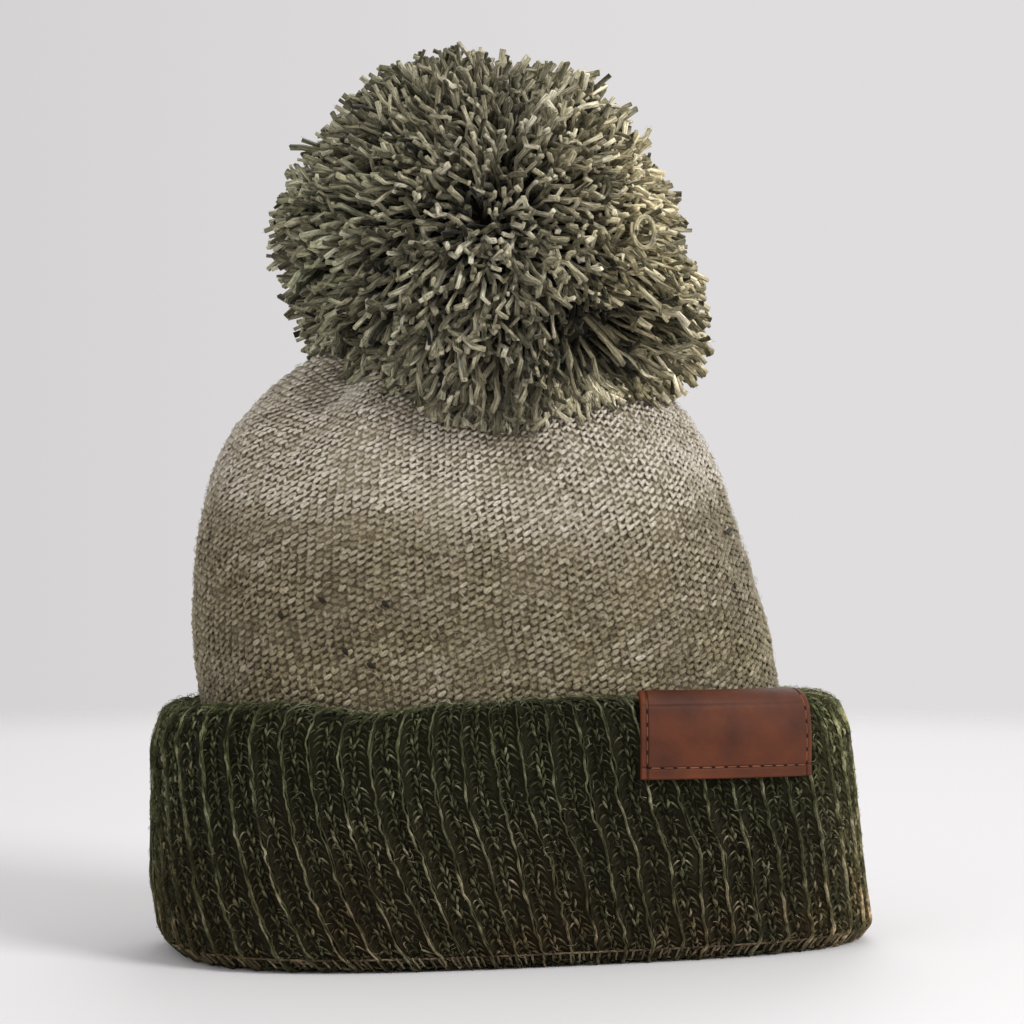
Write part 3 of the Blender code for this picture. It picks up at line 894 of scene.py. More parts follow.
# The cuff's stitches. The lean is a share of the way round, at a height share
CUFF_COURSE = 0.0021
STITCHES_BEFORE_FOLD = 0.004
STITCHES_BEFORE_END = 0.0012
Lean = namedtuple("Lean", "height share")
CUFF_LEAN = (
    Lean(height=0.00, share=0.0129),
    Lean(height=0.28, share=0.0027),
    Lean(height=0.60, share=-0.0054),
    Lean(height=0.86, share=-0.0015),
    Lean(height=1.00, share=0.0000),
)
Strand = namedtuple("Strand", "offset out size tone")
RIDGE_FADE = 0.008
RIDGE_STRANDS = (
    Strand(offset=0.000, out=0.00030, size=0.00030, tone=0.60),
    Strand(offset=0.055, out=-0.00010, size=0.00025, tone=0.42),
)
RIDGE_STEPS = 96
RIDGE_KINK = 0.060
RIDGE_LIFT = 0.0003
RIDGE_HEIGHT = 0.0007
RIDGE_SECTION = ((-1.0, -1.3), (-0.6, 0.0), (0.6, 0.0), (1.0, -1.3))

# How much the ridges' width and tone vary, and the share of their width at the edge
RIDGE_THINNING = 0.45
RIDGE_TONE_PATCHES = 0.20
RIDGE_TONE_BREAKS = 0.16
RIDGE_END_SHARE = 0.25
# The legs' tones darken their ends, where they dip in: painted shade
BEAD_LEG = (
    Leg(across=0.01, along=-0.5, out=-0.0007, width=0.7, tone=-0.18),
    Leg(across=0.05, along=0.0, out=-0.0001, width=1.0, tone=0.04),
    Leg(across=0.09, along=0.5, out=0.0000, width=1.0, tone=0.08),
    Leg(across=0.10, along=0.9, out=-0.0007, width=0.6, tone=-0.18),
)
WEB_LEG = (
    Leg(across=0.12, along=0.5, out=-0.0007, width=0.8, tone=-0.08),
    Leg(across=0.22, along=0.4, out=-0.0004, width=1.0, tone=0.10),
    Leg(across=0.33, along=0.0, out=-0.0005, width=1.0, tone=0.08),
    Leg(across=0.44, along=-0.6, out=-0.0009, width=0.7, tone=-0.14),
)
Stitch = namedtuple("Stitch", "legs out size dim")
CUFF_STITCHES = (
    Stitch(legs=BEAD_LEG, out=-0.0003, size=0.00036, dim=0.0),
    Stitch(legs=WEB_LEG, out=0.0, size=0.00025, dim=0.08),
)
CUFF_JITTER = Jitter(across=0.03, along=0.18, out=0.00022, width=0.18, tone=0.17)
CUFF_LEG_HEIGHT = 0.0005
CUFF_TONE = 0.44
CUFF_TONE_PATCHES = 0.08

# Where the beads lie between two ridges, as a share of a rib
BEAD_PLACE = 0.52

# The cuff's wall: how deep it lies under the stitches, its swell with the ribs and a
# finer ripple, and on the head side a tuck under the seam and the height of its ribs
CUFF_WALL_SUNK = 0.0015
CUFF_WALL_SWELL = 0.0006
CUFF_WALL_RIPPLE = 0.0002
HEAD_SIDE_TUCK = 0.0006
HEAD_SIDE_RIBS = 0.0004


def eased_lean():
    """Height shares, and the cuff's lean at each on a smooth curve through the table."""
    heights = np.linspace(0, 1, 201)
    lean = np.interp(heights, *zip(*CUFF_LEAN))
    window = np.hanning(61)
    padded = np.pad(lean, 30, mode="reflect", reflect_type="odd")
    return heights, np.convolve(padded, window / window.sum(), mode="valid")


LEAN_HEIGHTS, LEAN_SHARES = eased_lean()

# Right of the middle the ribs lean less low down. The pull is a share of the way round,
# it starts at a height share, and a table gives how much of it holds at a bearing
LOW_PULL = 0.0195
LOW_PULL_START = 0.42
Pull = namedtuple("Pull", "bearing share")
PULLS = (
    Pull(bearing=-180, share=0.00),
    Pull(bearing=-15, share=0.00),
    Pull(bearing=-2, share=0.65),
    Pull(bearing=6, share=0.92),
    Pull(bearing=24, share=1.00),
    Pull(bearing=60, share=0.50),
    Pull(bearing=120, share=0.00),
    Pull(bearing=180, share=0.00),
)


def cuff_share(phase, distance):
    """Share of the way round for a rib phase, which leans to the right going down."""
    share = phase / RIB_COUNT
    height = (distance - CUFF_FOLD) / (CUFF_TOP - CUFF_FOLD)
    bearing = bearings_of(share)
    facing = np.cos(np.radians(bearing)) ** 2
    low = np.clip(1 - height / LOW_PULL_START, 0, 1)
    pull = LOW_PULL * low * np.interp(bearing, *zip(*PULLS))
    return share + facing * np.interp(height, LEAN_HEIGHTS, LEAN_SHARES) - pull


def sunk_under_tab(distance, share):
    """How far the cuff's yarn is pressed in where the tab lies on it."""
    points, _ = CUFF.at(distance, share)
    left = CUFF_WIDTH / 2 - TAB_FROM_SIDE
    x, y, z = points[..., 0], points[..., 1], points[..., 2]
    under = (x > left - TAB_PRESS_MARGIN) & (x < left + TAB_WIDTH) & (z > CUFF_HEIGHT - TAB_DROP)
    return TAB_PRESS * (under & (y < 0))


# Maroon wool low down, green near the top, painted shade darkening the left and painted light
# brightening the right end
CUFF_TINTS_AND_PAINTED_LIGHT = (
    Tint(axis="Z", start=0.045, end=0.005, colour=(1.22, 0.90, 0.86), weight=0.9),
    Tint(axis="Z", start=0.040, end=0.074, colour=(0.92, 1.05, 0.88), weight=0.8),
    Tint(axis="X", start=-0.040, end=-0.100, colour=(0.62, 0.62, 0.52), weight=1.0),
    Tint(axis="X", start=0.080, end=0.098, colour=(2.5, 2.35, 2.3), weight=1.0),
)


def make_cuff():
    start, end = CUFF_FOLD - STITCHES_BEFORE_FOLD, CUFF.length - STITCHES_BEFORE_END
    material = yarn_material(
        "cuff_yarn", CUFF_STOPS, plies=2, twist=0.003, tints=CUFF_TINTS_AND_PAINTED_LIGHT, sheen=0.08,
        fibre_tint=(0.60, 0.58, 0.32),
    )
    make_cuff_ridges(start, end, material)
    make_cuff_stitches(start, end, material)
    for name, low, count, reach in (
        ("cuff_fibres", start, 4600, 0.0008),
        ("cuff_edge_fibres", CUFF_TOP - 0.005, 2200, 0.0014),
    ):
        fibres = add_fibres(
            name, CUFF, low, end, count, length=0.0020, reach=reach, material=material, seed=38
        )
        finish_piece(fibres, "cuff")
    make_cuff_edge()
    make_cuff_wall()


def rib_sway(steps):
    """How far each rib strays to the side, in ribs, at steps up the cuff."""
    return 0.09 * smooth_noise((RIB_COUNT, steps), (1, steps / 4), seed=32)


def make_cuff_ridges(start, end, material):
    """Ridges: a smooth strand up each rib, and a thinner one beside it."""
    steps = RIDGE_STEPS
    distance = np.linspace(start, end, steps)[None, :]
    rib = np.arange(RIB_COUNT)[:, None]
    ridges = []
    for number, strand in enumerate(RIDGE_STRANDS):
        kink = RIDGE_KINK * smooth_noise((RIB_COUNT, steps), (1, 2), seed=40 + number)
        share = cuff_share(rib + strand.offset + rib_sway(steps) + kink, distance)
        lift = strand.out + RIDGE_LIFT * smooth_noise((RIB_COUNT, steps), (1, 5), seed=50 + number)
        lift = lift - sunk_under_tab(distance, share)
        paths, normals = CUFF.pushed(distance, share, lift)
        fade = np.clip((CUFF_TOP - distance) / RIDGE_FADE, RIDGE_END_SHARE, 1)
        broken = smooth_noise((RIB_COUNT, steps), (1, 2), seed=60 + number)
        width = strand.size * (1 + RIDGE_THINNING * broken) * fade
        patches = smooth_noise((RIB_COUNT, steps), (1, 4), seed=70 + number)
        tone = strand.tone + RIDGE_TONE_PATCHES * patches + RIDGE_TONE_BREAKS * broken
        ridges.append((paths, normals, width, tone))
    paths, normals, width, tone = (np.concatenate(kind) for kind in zip(*ridges))
    piece = add_yarns(
        "cuff_ridges", paths, normals, width, RIDGE_HEIGHT, tone, RIDGE_SECTION, material
    )
    finish_piece(piece, "cuff")


def make_cuff_stitches(start, end, material):
    """A beaded column midway between ridges, and fine arcs from it to each ridge."""
    courses = int((end - start) / CUFF_COURSE)
    shape = (courses, RIB_COUNT)
    course, rib = np.meshgrid(np.arange(courses), np.arange(RIB_COUNT), indexing="ij")
    clouds = smooth_noise(shape, (8, 3), seed=37)
    specks = smooth_noise(shape, (1, 1), seed=36)
    base_tone = CUFF_TONE + CUFF_TONE_PATCHES * specks + CUFF_TONE_PATCHES * clouds
    sway = rib_sway(courses).T[..., None]
    rng = np.random.default_rng(31)
    legs = []
    for stitch in CUFF_STITCHES:
        leg = Leg(*np.array(stitch.legs).T)
        for side in (-1, 1):
            jitter = rng.normal(size=(4, *shape, 1))
            across = side * leg.across + CUFF_JITTER.across * jitter[0]
            along = leg.along + CUFF_JITTER.along * jitter[1]
            distance = start + (course[..., None] + 0.5 + along) * CUFF_COURSE
            share = cuff_share(rib[..., None] + BEAD_PLACE + across + sway, distance)
            raised = stitch.out + leg.out + CUFF_JITTER.out * jitter[2]
            raised = raised - sunk_under_tab(distance, share)
            paths, normals = CUFF.pushed(distance, share, raised)
            width = stitch.size * leg.width * (1 + CUFF_JITTER.width * jitter[1])
            tone = base_tone[..., None] - stitch.dim + leg.tone + CUFF_JITTER.tone * jitter[3]
            legs.append((paths, normals, width, tone))
    paths, normals, width, tone = (
        np.concatenate([leg.reshape(-1, 4, *leg.shape[3:]) for leg in kind]) for kind in zip(*legs)
    )
    piece = add_yarns(
        "cuff_stitches", paths, normals, width, CUFF_LEG_HEIGHT, tone, DOME, material
    )
    finish_piece(piece, "cuff")


# The seam near the cuff's fold: a line of tan loops with short stitches under it
EDGE_LINE_HEIGHT = 0.0038
EDGE_LINE_SWAY = 0.0007
EDGE_LINE_HALF_WIDTH = 0.00028
EDGE_STITCHES = 3
EDGE_STITCH_HALF_WIDTH = 0.00035
EDGE_YARN_HEIGHT = 0.0005


def make_cuff_edge():
    material = yarn_material("cuff_edge", EDGE_STOPS, plies=2, twist=0.003, sheen=0.1)
    at = CUFF.distance_at(EDGE_LINE_HEIGHT, CUFF_FOLD)
    steps = 800
    share = np.arange(steps + 1) / steps
    ring = np.arange(steps + 1) % steps
    sway = EDGE_LINE_SWAY * smooth_noise((1, steps), (1, 4), seed=81)[:, ring]
    paths, normals = CUFF.pushed(at + sway, share[None], -0.0001 + sway)
    tone = 0.5 + 0.35 * smooth_noise((1, steps), (1, 8), seed=82)[:, ring]
    line = add_yarns(
        "cuff_edge_line", paths, normals, EDGE_LINE_HALF_WIDTH, EDGE_YARN_HEIGHT, tone, DOME, material
    )
    finish_piece(line, "cuff")
    rng = np.random.default_rng(83)
    count = RIB_COUNT * EDGE_STITCHES
    phase = (np.arange(count)[:, None] + 0.15 * rng.normal(size=(count, 1))) / EDGE_STITCHES
    down = np.array((0.0006, -0.0008, -0.0022, -0.0036))[None]
    distance = at + down * rng.uniform(0.7, 1.1, (count, 1))
    paths, normals = CUFF.pushed(distance, cuff_share(phase, distance), np.full((count, 4), 0.0001))
    tone = rng.uniform(0.35, 0.95, (count, 1))
    width = EDGE_STITCH_HALF_WIDTH * np.array((0.8, 1.0, 1.0, 0.6))
    stitches = add_yarns(
        "cuff_edge_stitches", paths, normals, width, EDGE_YARN_HEIGHT, tone, DOME, material
    )
    finish_piece(stitches, "cuff")


def make_cuff_wall():
    """The cuff's knit under its stitches, with ribs on the head side."""
    rows, around = 38, 6
    columns = RIB_COUNT * around
    distance = np.linspace(0, CUFF.length, rows)[:, None]
    phase = (np.arange(columns) / around)[None, :]
    share = cuff_share(phase, distance)
    swell = np.cos(2 * math.pi * phase)
    outside = np.clip((distance - CUFF_FOLD + STITCHES_BEFORE_FOLD) / STITCHES_BEFORE_FOLD, 0, 1)
    tuck = np.where(distance < SEAM_DEPTH, 0.0, -HEAD_SIDE_TUCK)
    ripple = CUFF_WALL_RIPPLE * np.cos(4 * math.pi * phase)
    sunk = CUFF_WALL_SWELL * swell + ripple - CUFF_WALL_SUNK
    out = sunk * outside + (tuck + HEAD_SIDE_RIBS * (swell - 1)) * (1 - outside)
    face, normals = CUFF.pushed(distance, share, out)
    back, _ = CUFF.pushed(distance, share, np.full(out.shape, -KNIT_THICKNESS + 0.0002))
    points = np.concatenate([face, back[::-1]]).reshape(-1, 3)
    quads = sheet_quads(2 * rows, columns, closed=True)
    rim = sheet_quads(2, columns, closed=True)
    rim = np.where(rim >= columns, rim - columns, rim + (2 * rows - 1) * columns)
    tones = np.full(len(points), 0.3)
    # Darker than the cuff's yarn: painted shade in the channels between the ribs
    material = wall_material("cuff_wall", linear(15, 13, 7), linear(48, 45, 28), CUFF_TINTS_AND_PAINTED_LIGHT)
    wall = add_mesh("cuff_wall", points, np.concatenate([quads, rim]), [material], tones)
    finish_piece(wall, "cuff")


# The pompom's strands, at places that are shares of the way out. Their tones darken towards the roots as
# painted shade deep in the pompom, and the tips are darker cut ends
STRAND_COUNT = 6300
CLUMP_COUNT = 210
Ring = namedtuple("Ring", "place tone width")
STRAND_RINGS = (
    Ring(place=0.50, tone=-0.55, width=0.80),
    Ring(place=0.66, tone=-0.34, width=0.90),
    Ring(place=0.78, tone=-0.14, width=1.00),
    Ring(place=0.88, tone=0.00, width=1.05),
    Ring(place=0.95, tone=0.05, width=1.10),
    Ring(place=1.00, tone=-0.16, width=1.15),
)
STRAND_HALF_WIDTH = 0.00066
STRAND_HALF_HEIGHT = 0.00046
STRAND_KINK = 0.00085
STRAND_BEND = 1.9
STRAND_MARGIN = 0.0012
SHORTEST_TIP = 0.0012
LOOSE_FIBRE_COUNT = 4200
LOOSE_FIBRE_REACH = 0.0016

# How the strands' tips gather in clumps, lean, scatter and droop, on a ball of radius 1
CLUMP_CLOSENESS = 0.30
MOST_CLUMP_LEAN = 0.24
TIP_SCATTER = 0.16
TIP_DROOP = 0.10

# Lengths, as shares of the reach, and tones
MEAN_LENGTH = 0.945
SHORTEST_STRAND = 0.84
STRAND_LENGTH_SCATTER = 0.025
CLUMP_LENGTH_SCATTER = 0.030
STRAND_TONE = 0.65
STRAND_TONE_SCATTER = 0.22
CLUMP_TONE_SCATTER = 0.10
# How much the strands darken in the hollows, as painted shade
HOLLOW_PAINTED_SHADE = 3.2

# The tied middle, as a share of the reach, how lumpy it is and its gap to the crown
HEAD_SHARE = 0.64
HEAD_LUMPS = 0.05
HEAD_MARGIN = 0.0008

# Greener wool on the pompom's left, and painted light on its right, which is much brighter and a little
# yellower
POMPOM_TINTS_AND_PAINTED_LIGHT = (
    Tint(axis="X", start=-0.025, end=-0.070, colour=(0.94, 1.03, 0.94), weight=0.9),
    Tint(axis="X", start=0.000, end=0.034, colour=(1.78, 1.70, 1.54), weight=1.0),
)

# A curled strand that lies on the pompom's front, and sinks in as it turns
RING_X = 0.0345
RING_Z = 0.2165
RING_OUT = 0.0012
RING_SINK = 0.0002
RING_RADIUS = 0.0044
RING_GROWTH = 0.015
RING_TURNS = 1.08
RING_TONE = 0.6

# Hollows between the pompom's strands, seen from the front, where the strands fall short and are
# darkened with painted shade
Hollow = namedtuple("Hollow", "x z spread depth")
HOLLOWS = (
    Hollow(x=0.026, z=0.175, spread=0.20, depth=0.40),
    Hollow(x=-0.010, z=0.228, spread=0.12, depth=0.07),
    Hollow(x=-0.050, z=0.205, spread=0.12, depth=0.12),
)
HOLLOW_FRONT = -0.050


def pompom_centre():
    apex = crown_oval(len(CROWN_SECTIONS) - 1)
    middle = (apex.right - apex.left) / 2
    return np.array(
        (middle + POMPOM_RIGHT_OF_TOP, POMPOM_BEHIND_TOP - apex.forward, apex.z + POMPOM_RISE)
    )


def pompom_reach(ways):
    """Distance from the centre to the outer form of the pompom, along unit vectors."""
    x, y, z = ways[..., 0], ways[..., 1], ways[..., 2]
    across = np.hypot(x, z)
    angles = [reach.angle for reach in POMPOM_OUTLINE] + [360]
    outline = [reach.share for reach in POMPOM_OUTLINE] + [POMPOM_OUTLINE[0].share]
    share = np.interp(np.degrees(np.arctan2(z, x)) % 360, angles, outline)
    share = DEPTHWISE_SHARE + (share - DEPTHWISE_SHARE) * across**2
    share = share + POMPOM_DROOP * np.maximum(0, -y) * np.maximum(0, -z)
    return share / np.hypot(across / (POMPOM_WIDTH / 2), y / (POMPOM_DEPTH / 2))


def spread_ways(count, seed, scatter):
    """Unit vectors spread evenly over a ball, then moved a little."""
    rng = np.random.default_rng(seed)
    number = np.arange(count) + 0.5
    height = 1 - 2 * number / count
    turn = number * math.pi * (3 - math.sqrt(5))
    ring = np.sqrt(1 - height**2)
    ways = np.stack([ring * np.cos(turn), ring * np.sin(turn), height], axis=1)
    return unit(ways + rng.normal(size=ways.shape) * scatter)


def crown_tree():
    """Search tree of the crown's outer face."""
    grid = CROWN.points[::8, ::8]
    quads = sheet_quads(*grid.shape[:2], closed=True)
    return BVHTree.FromPolygons(grid.reshape(-1, 3).tolist(), quads.tolist())


def lift_off_crown(paths, margin):
    """Move strand points that would be in the crown up to just over its face."""
    tree = crown_tree()
    flat = paths.reshape(-1, 3)
    for index in np.flatnonzero(flat[:, 2] < CROWN.points[:, :, 2].max() + margin):
        spot, normal, _, _ = tree.find_nearest(Vector(flat[index]))
        height = (Vector(flat[index]) - spot).dot(normal)
        if height < margin:
            flat[index] = spot + normal * margin
    return flat.reshape(paths.shape)


def hollow_depth(ways, centre):
    """Share by which the strands fall short in the pompom's hollows."""
    depth = np.zeros(len(ways))
    for hollow in HOLLOWS:
        way = unit(np.array((hollow.x, HOLLOW_FRONT, hollow.z)) - centre)
        away = np.linalg.norm(ways - way, axis=1)
        depth += hollow.depth * np.exp(-((away / hollow.spread) ** 2))
    return depth


def strand_paths(rng, centre, ring):
    """Paths of the strands, the clump each is in and the depth of its hollow."""
    roots = spread_ways(STRAND_COUNT, 42, 0.03)
    clumps = spread_ways(CLUMP_COUNT, 43, 0.06)
    near = np.argmax(roots @ clumps.T, axis=1)
    pull = rng.uniform(0, MOST_CLUMP_LEAN, (CLUMP_COUNT, 1))
    lean = unit(np.cross(clumps, rng.normal(size=clumps.shape))) * pull
    stray = TIP_SCATTER * rng.normal(size=roots.shape)
    tips = roots + CLUMP_CLOSENESS * (clumps[near] - roots) + lean[near] + stray
    tips = tips - np.array((0, 0, TIP_DROOP))
    bend = (ring.place**STRAND_BEND)[None, :, None]
    ways = unit(roots[:, None] * (1 - bend) + unit(tips)[:, None] * bend)
    sunk = hollow_depth(ways[:, -1], centre)
    clump_length = CLUMP_LENGTH_SCATTER * rng.normal(size=CLUMP_COUNT)[near]
    length = MEAN_LENGTH + STRAND_LENGTH_SCATTER * rng.normal(size=STRAND_COUNT) + clump_length
    reach = pompom_reach(ways[:, -1]) * (np.clip(length, SHORTEST_STRAND, 1.0) - sunk)
    paths = centre + ways * (reach[:, None] * ring.place)[:, :, None]
    kinks = rng.normal(size=(STRAND_COUNT, len(STRAND_RINGS), 3)) * (ring.place**2)[None, :, None]
    paths = lift_off_crown(paths + STRAND_KINK * kinks, STRAND_MARGIN)
    kept = np.linalg.norm(paths[:, -1] - paths[:, -2], axis=1) > SHORTEST_TIP
    return paths[kept], near[kept], sunk[kept]


def make_pompom():
    rng = np.random.default_rng(41)
    centre = pompom_centre()
    ring = Ring(*np.array(STRAND_RINGS).T)
    paths, near, sunk = strand_paths(rng, centre, ring)
    count = len(paths)
    outs = unit(rng.normal(size=(count, 1, 3)) + unit(paths - centre)) + np.zeros_like(paths)
    clump_tone = CLUMP_TONE_SCATTER * rng.normal(size=CLUMP_COUNT)[near]
    strand_tone = STRAND_TONE + STRAND_TONE_SCATTER * rng.normal(size=count)
    # Tones darken in the hollows and towards the roots as painted shade; the tips darken as cut ends
    tones = (strand_tone + clump_tone - HOLLOW_PAINTED_SHADE * sunk)[:, None] + ring.tone
    width = STRAND_HALF_WIDTH * ring.width * rng.uniform(0.65, 1.25, (count, 1))
    turns = (np.arange(4) + 0.5) * math.pi / 2
    section = np.stack([np.cos(turns), np.sin(turns)], axis=1) * math.sqrt(2)
    material = yarn_material(
        "pompom_yarn", POMPOM_STOPS, plies=3, twist=0.007, tints=POMPOM_TINTS_AND_PAINTED_LIGHT, sheen=0.2,
        streak=0.005,
    )
    order = rng.permutation(count)
    half = count // 2
    for name, chosen in (("pompom_strands", order[:half]), ("pompom_more_strands", order[half:])):
        piece = add_yarns(
            name, paths[chosen], outs[chosen], width[chosen], STRAND_HALF_HEIGHT,
            tones[chosen], section, material, closed=True,
        )
        finish_piece(piece, "pompom")
    make_loose_fibres(paths, tones, rng, material)
    make_yarn_ring(centre, material)
    make_pompom_head(centre)


def make_loose_fibres(strands, tones, rng, material):
    """Single fibres that fray away from the outer part of some strands."""
    chosen = rng.integers(0, len(strands), LOOSE_FIBRE_COUNT)
    away = unit(rng.normal(size=(LOOSE_FIBRE_COUNT, 1, 3)))
    growth = np.array((0.0, 0.3, 0.7, 1.0))[None, :, None]
    size = LOOSE_FIBRE_REACH * rng.uniform(0.5, 1.3, (LOOSE_FIBRE_COUNT, 1, 1))
    paths = strands[chosen, -4:] + away * growth * size
    outs = unit(rng.normal(size=(LOOSE_FIBRE_COUNT, 1, 3))) + np.zeros_like(paths)
    width = FIBRE_HALF_WIDTH * np.array((1.0, 1.0, 0.8, 0.5))
    light = tones[chosen, -3:-2] + 0.15
    piece = add_yarns("pompom_fibres", paths, outs, width, 0.0, light, ((-1, 0), (1, 0)), material)
    finish_piece(piece, "pompom")


def make_yarn_ring(centre, material):
    """A curled strand that lies flat on the pompom's front."""
    way = unit(np.array((RING_X, HOLLOW_FRONT, RING_Z)) - centre)
    middle = centre + way * (pompom_reach(way[None])[0] + RING_OUT)
    side = unit(np.cross(way, (0, 0, 1)))
    up = np.cross(side, way)
    turn = np.linspace(0, 2 * math.pi * RING_TURNS, 26)[:, None]
    radius = RING_RADIUS * (1 + RING_GROWTH * turn)
    path = middle + radius * (np.cos(turn) * side + np.sin(turn) * up) - RING_SINK * turn * way
    outs = np.broadcast_to(way, path.shape)
    piece = add_yarns(
        "pompom_ring", path[None], outs[None], STRAND_HALF_WIDTH, STRAND_HALF_HEIGHT,
        RING_TONE, ((-1, -1), (1, -1), (1, 1), (-1, 1)), material, closed=True,
    )
    finish_piece(piece, "pompom")


def make_pompom_head(centre):
    """The tied middle that shows between the strands, coloured dark as painted shade deep in the pompom.
    """
    rows, columns = 40, 60
    rise = np.linspace(0.002, math.pi - 0.002, rows)[:, None]
    turn = (np.arange(columns) / columns * 2 * math.pi)[None, :]
    ways = np.stack(
        [np.sin(rise) * np.cos(turn), np.sin(rise) * np.sin(turn), -np.cos(rise) + 0 * turn], axis=2
    )
    lumps = 1 + HEAD_LUMPS * smooth_noise((rows, columns), (4, 4), seed=44)
    points = centre + ways * (pompom_reach(ways) * HEAD_SHARE * lumps)[..., None]
    points = lift_off_crown(points, HEAD_MARGIN).reshape(-1, 3)
    quads = sheet_quads(rows, columns, closed=True)
    caps = np.stack([np.arange(columns)[::-1], np.arange(columns) + (rows - 1) * columns])
    material = wall_material("pompom_middle_shade", linear(16, 15, 9), linear(52, 49, 35))
    head = add_mesh("pompom_head", points, quads, [material], np.full(len(points), 0.3), caps=caps)
    finish_piece(head, "pompom")


# The leather tab: lengths from its left edge and from its lower edge
TAB_EDGE = 0.0007
TAB_LEFT_GROOVE = 0.0019
TAB_RIGHT_GROOVE = TAB_WIDTH - 0.0021
TAB_SEAM_RISE = 0.0034
TAB_LINE_RISE = TAB_DROP - 0.0016
TAB_GROOVE_WIDTH = 0.00030
TAB_STITCH_PITCH = 0.0039
SIDE_GROOVE_DEPTH = 0.00045
SEAM_GROOVE_DEPTH = 0.00035
LINE_GROOVE_DEPTH = 0.00018
TAB_WAVES = 0.00012


def dense_places(length, marks):
    """Places along a length, closer together round the marks."""
    near = np.arange(-0.0009, 0.00095, 0.00015)
    places = [np.arange(0, length, 0.0008), [length]]
    places += [np.clip(mark + near, 0, length) for mark in marks]
    return np.unique(np.round(np.concatenate(places), 7))


def groove(places, mark):
    return np.exp(-(((places - mark) / TAB_GROOVE_WIDTH) ** 2))


def leather_material(name, dark, light, roughness=0.6):
    nodes = Nodes(name, roughness=roughness, sheen=0.0, sheen_tint=(1, 1, 1), specular=0.25)
    place = nodes.add("TexCoord").outputs["Object"]
    wear_and_groove_shade = nodes.add("Attribute", attribute_name="tone").outputs["Fac"]
    clouds = nodes.math("ADD", nodes.noise(place, 70.0, detail=3.0), wear_and_groove_shade)
    nodes.link(nodes.ramp(clouds, ((0.25, dark), (0.75, light))), "Base Color")
    creases = nodes.bump(nodes.noise(place, 420.0, detail=4.0), 0.0004, 0.35)
    pores = nodes.bump(nodes.noise(place, 2400.0, detail=3.0), 0.0002, 0.5, under=creases)
    nodes.link(pores, "Normal")
    return nodes.material


def make_tab():
    """Leather over the crests of the ribs, from below the edge up and over the roll."""
    bottom = CUFF.distance_at(CUFF_HEIGHT - TAB_DROP, CUFF_FOLD)
    top = CUFF_TOP + (CUFF.length - CUFF_TOP) * TAB_OVERLAP
    across = dense_places(TAB_WIDTH, (0, TAB_LEFT_GROOVE, TAB_RIGHT_GROOVE, TAB_WIDTH))
    up = dense_places(top - bottom, (0, TAB_SEAM_RISE, TAB_LINE_RISE, top - bottom))
    share = np.linspace(0.5, 1.0, 2000)
    shares = []
    for at in bottom + up:
        line, _ = CUFF.at(np.full(share.shape, at), share)
        length = length_along(line)
        start = np.interp(CUFF_WIDTH / 2 - TAB_FROM_SIDE, line[:, 0], length)
        shares.append(np.interp(start + across, length, share))
    shares = np.array(shares)
    distances = np.broadcast_to((bottom + up)[:, None], shares.shape)
    across, up = across[None, :], up[:, None]
    from_edge = np.minimum(np.minimum(across, TAB_WIDTH - across), np.minimum(up, up[-1] - up))
    fall = TAB_EDGE * (1 - np.sqrt(1 - np.clip(1 - from_edge / TAB_EDGE, 0, 1) ** 2))
    sides = groove(across, TAB_LEFT_GROOVE) + groove(across, TAB_RIGHT_GROOVE)
    dips = SIDE_GROOVE_DEPTH * sides + SEAM_GROOVE_DEPTH * groove(up, TAB_SEAM_RISE)
    dips = dips + LINE_GROOVE_DEPTH * groove(up, TAB_LINE_RISE)
    waves = TAB_WAVES * smooth_noise(shares.shape, (24, 24), seed=91)
    face, normals = CUFF.pushed(distances, shares, TAB_GAP + TAB_THICKNESS - fall - dips + waves)
    back, _ = CUFF.pushed(distances, shares, np.full(shares.shape, TAB_GAP))
    points = np.concatenate([face.reshape(-1, 3), back.reshape(-1, 3)])
    rows, columns = shares.shape
    quads = sheet_quads(rows, columns, closed=False)
    count = rows * columns
    grid = np.arange(count).reshape(rows, columns)
    loop = np.concatenate([grid[0, :-1], grid[:-1, -1], grid[-1, :0:-1], grid[:0:-1, 0]])
    beside = np.roll(loop, -1)
    rim = np.stack([loop, loop + count, beside + count, beside], axis=1)
    # Worn edges lighter, and the grooves darkened as painted shade
    wear_and_groove_shade = 0.25 * np.exp(-from_edge / 0.0008) - 500 * dips - 0.05
    tones = np.concatenate([wear_and_groove_shade.reshape(-1), np.full(count, -0.1)])
    material = leather_material("leather", linear(60, 27, 10), linear(96, 47, 21))
    faces = np.concatenate([quads, quads[:, ::-1] + count, rim])
    tab = add_mesh("tab_leather", points, faces, [material], tones)
    finish_piece(tab, "tab")
    make_tab_thread(face, normals, up[:, 0], across[0])


def on_grid(grid, rows, columns, row, column):
    """Values of a grid at places between its rows and columns."""
    row = np.interp(row, rows, np.arange(len(rows)))
    column = np.interp(column, columns, np.arange(len(columns)))
    low = np.minimum(row.astype(int), len(rows) - 2)
    first = np.minimum(column.astype(int), len(columns) - 2)
    up, beside = (row - low)[..., None], (column - first)[..., None]
    return between_points(grid, low, first, first + 1, up, beside)


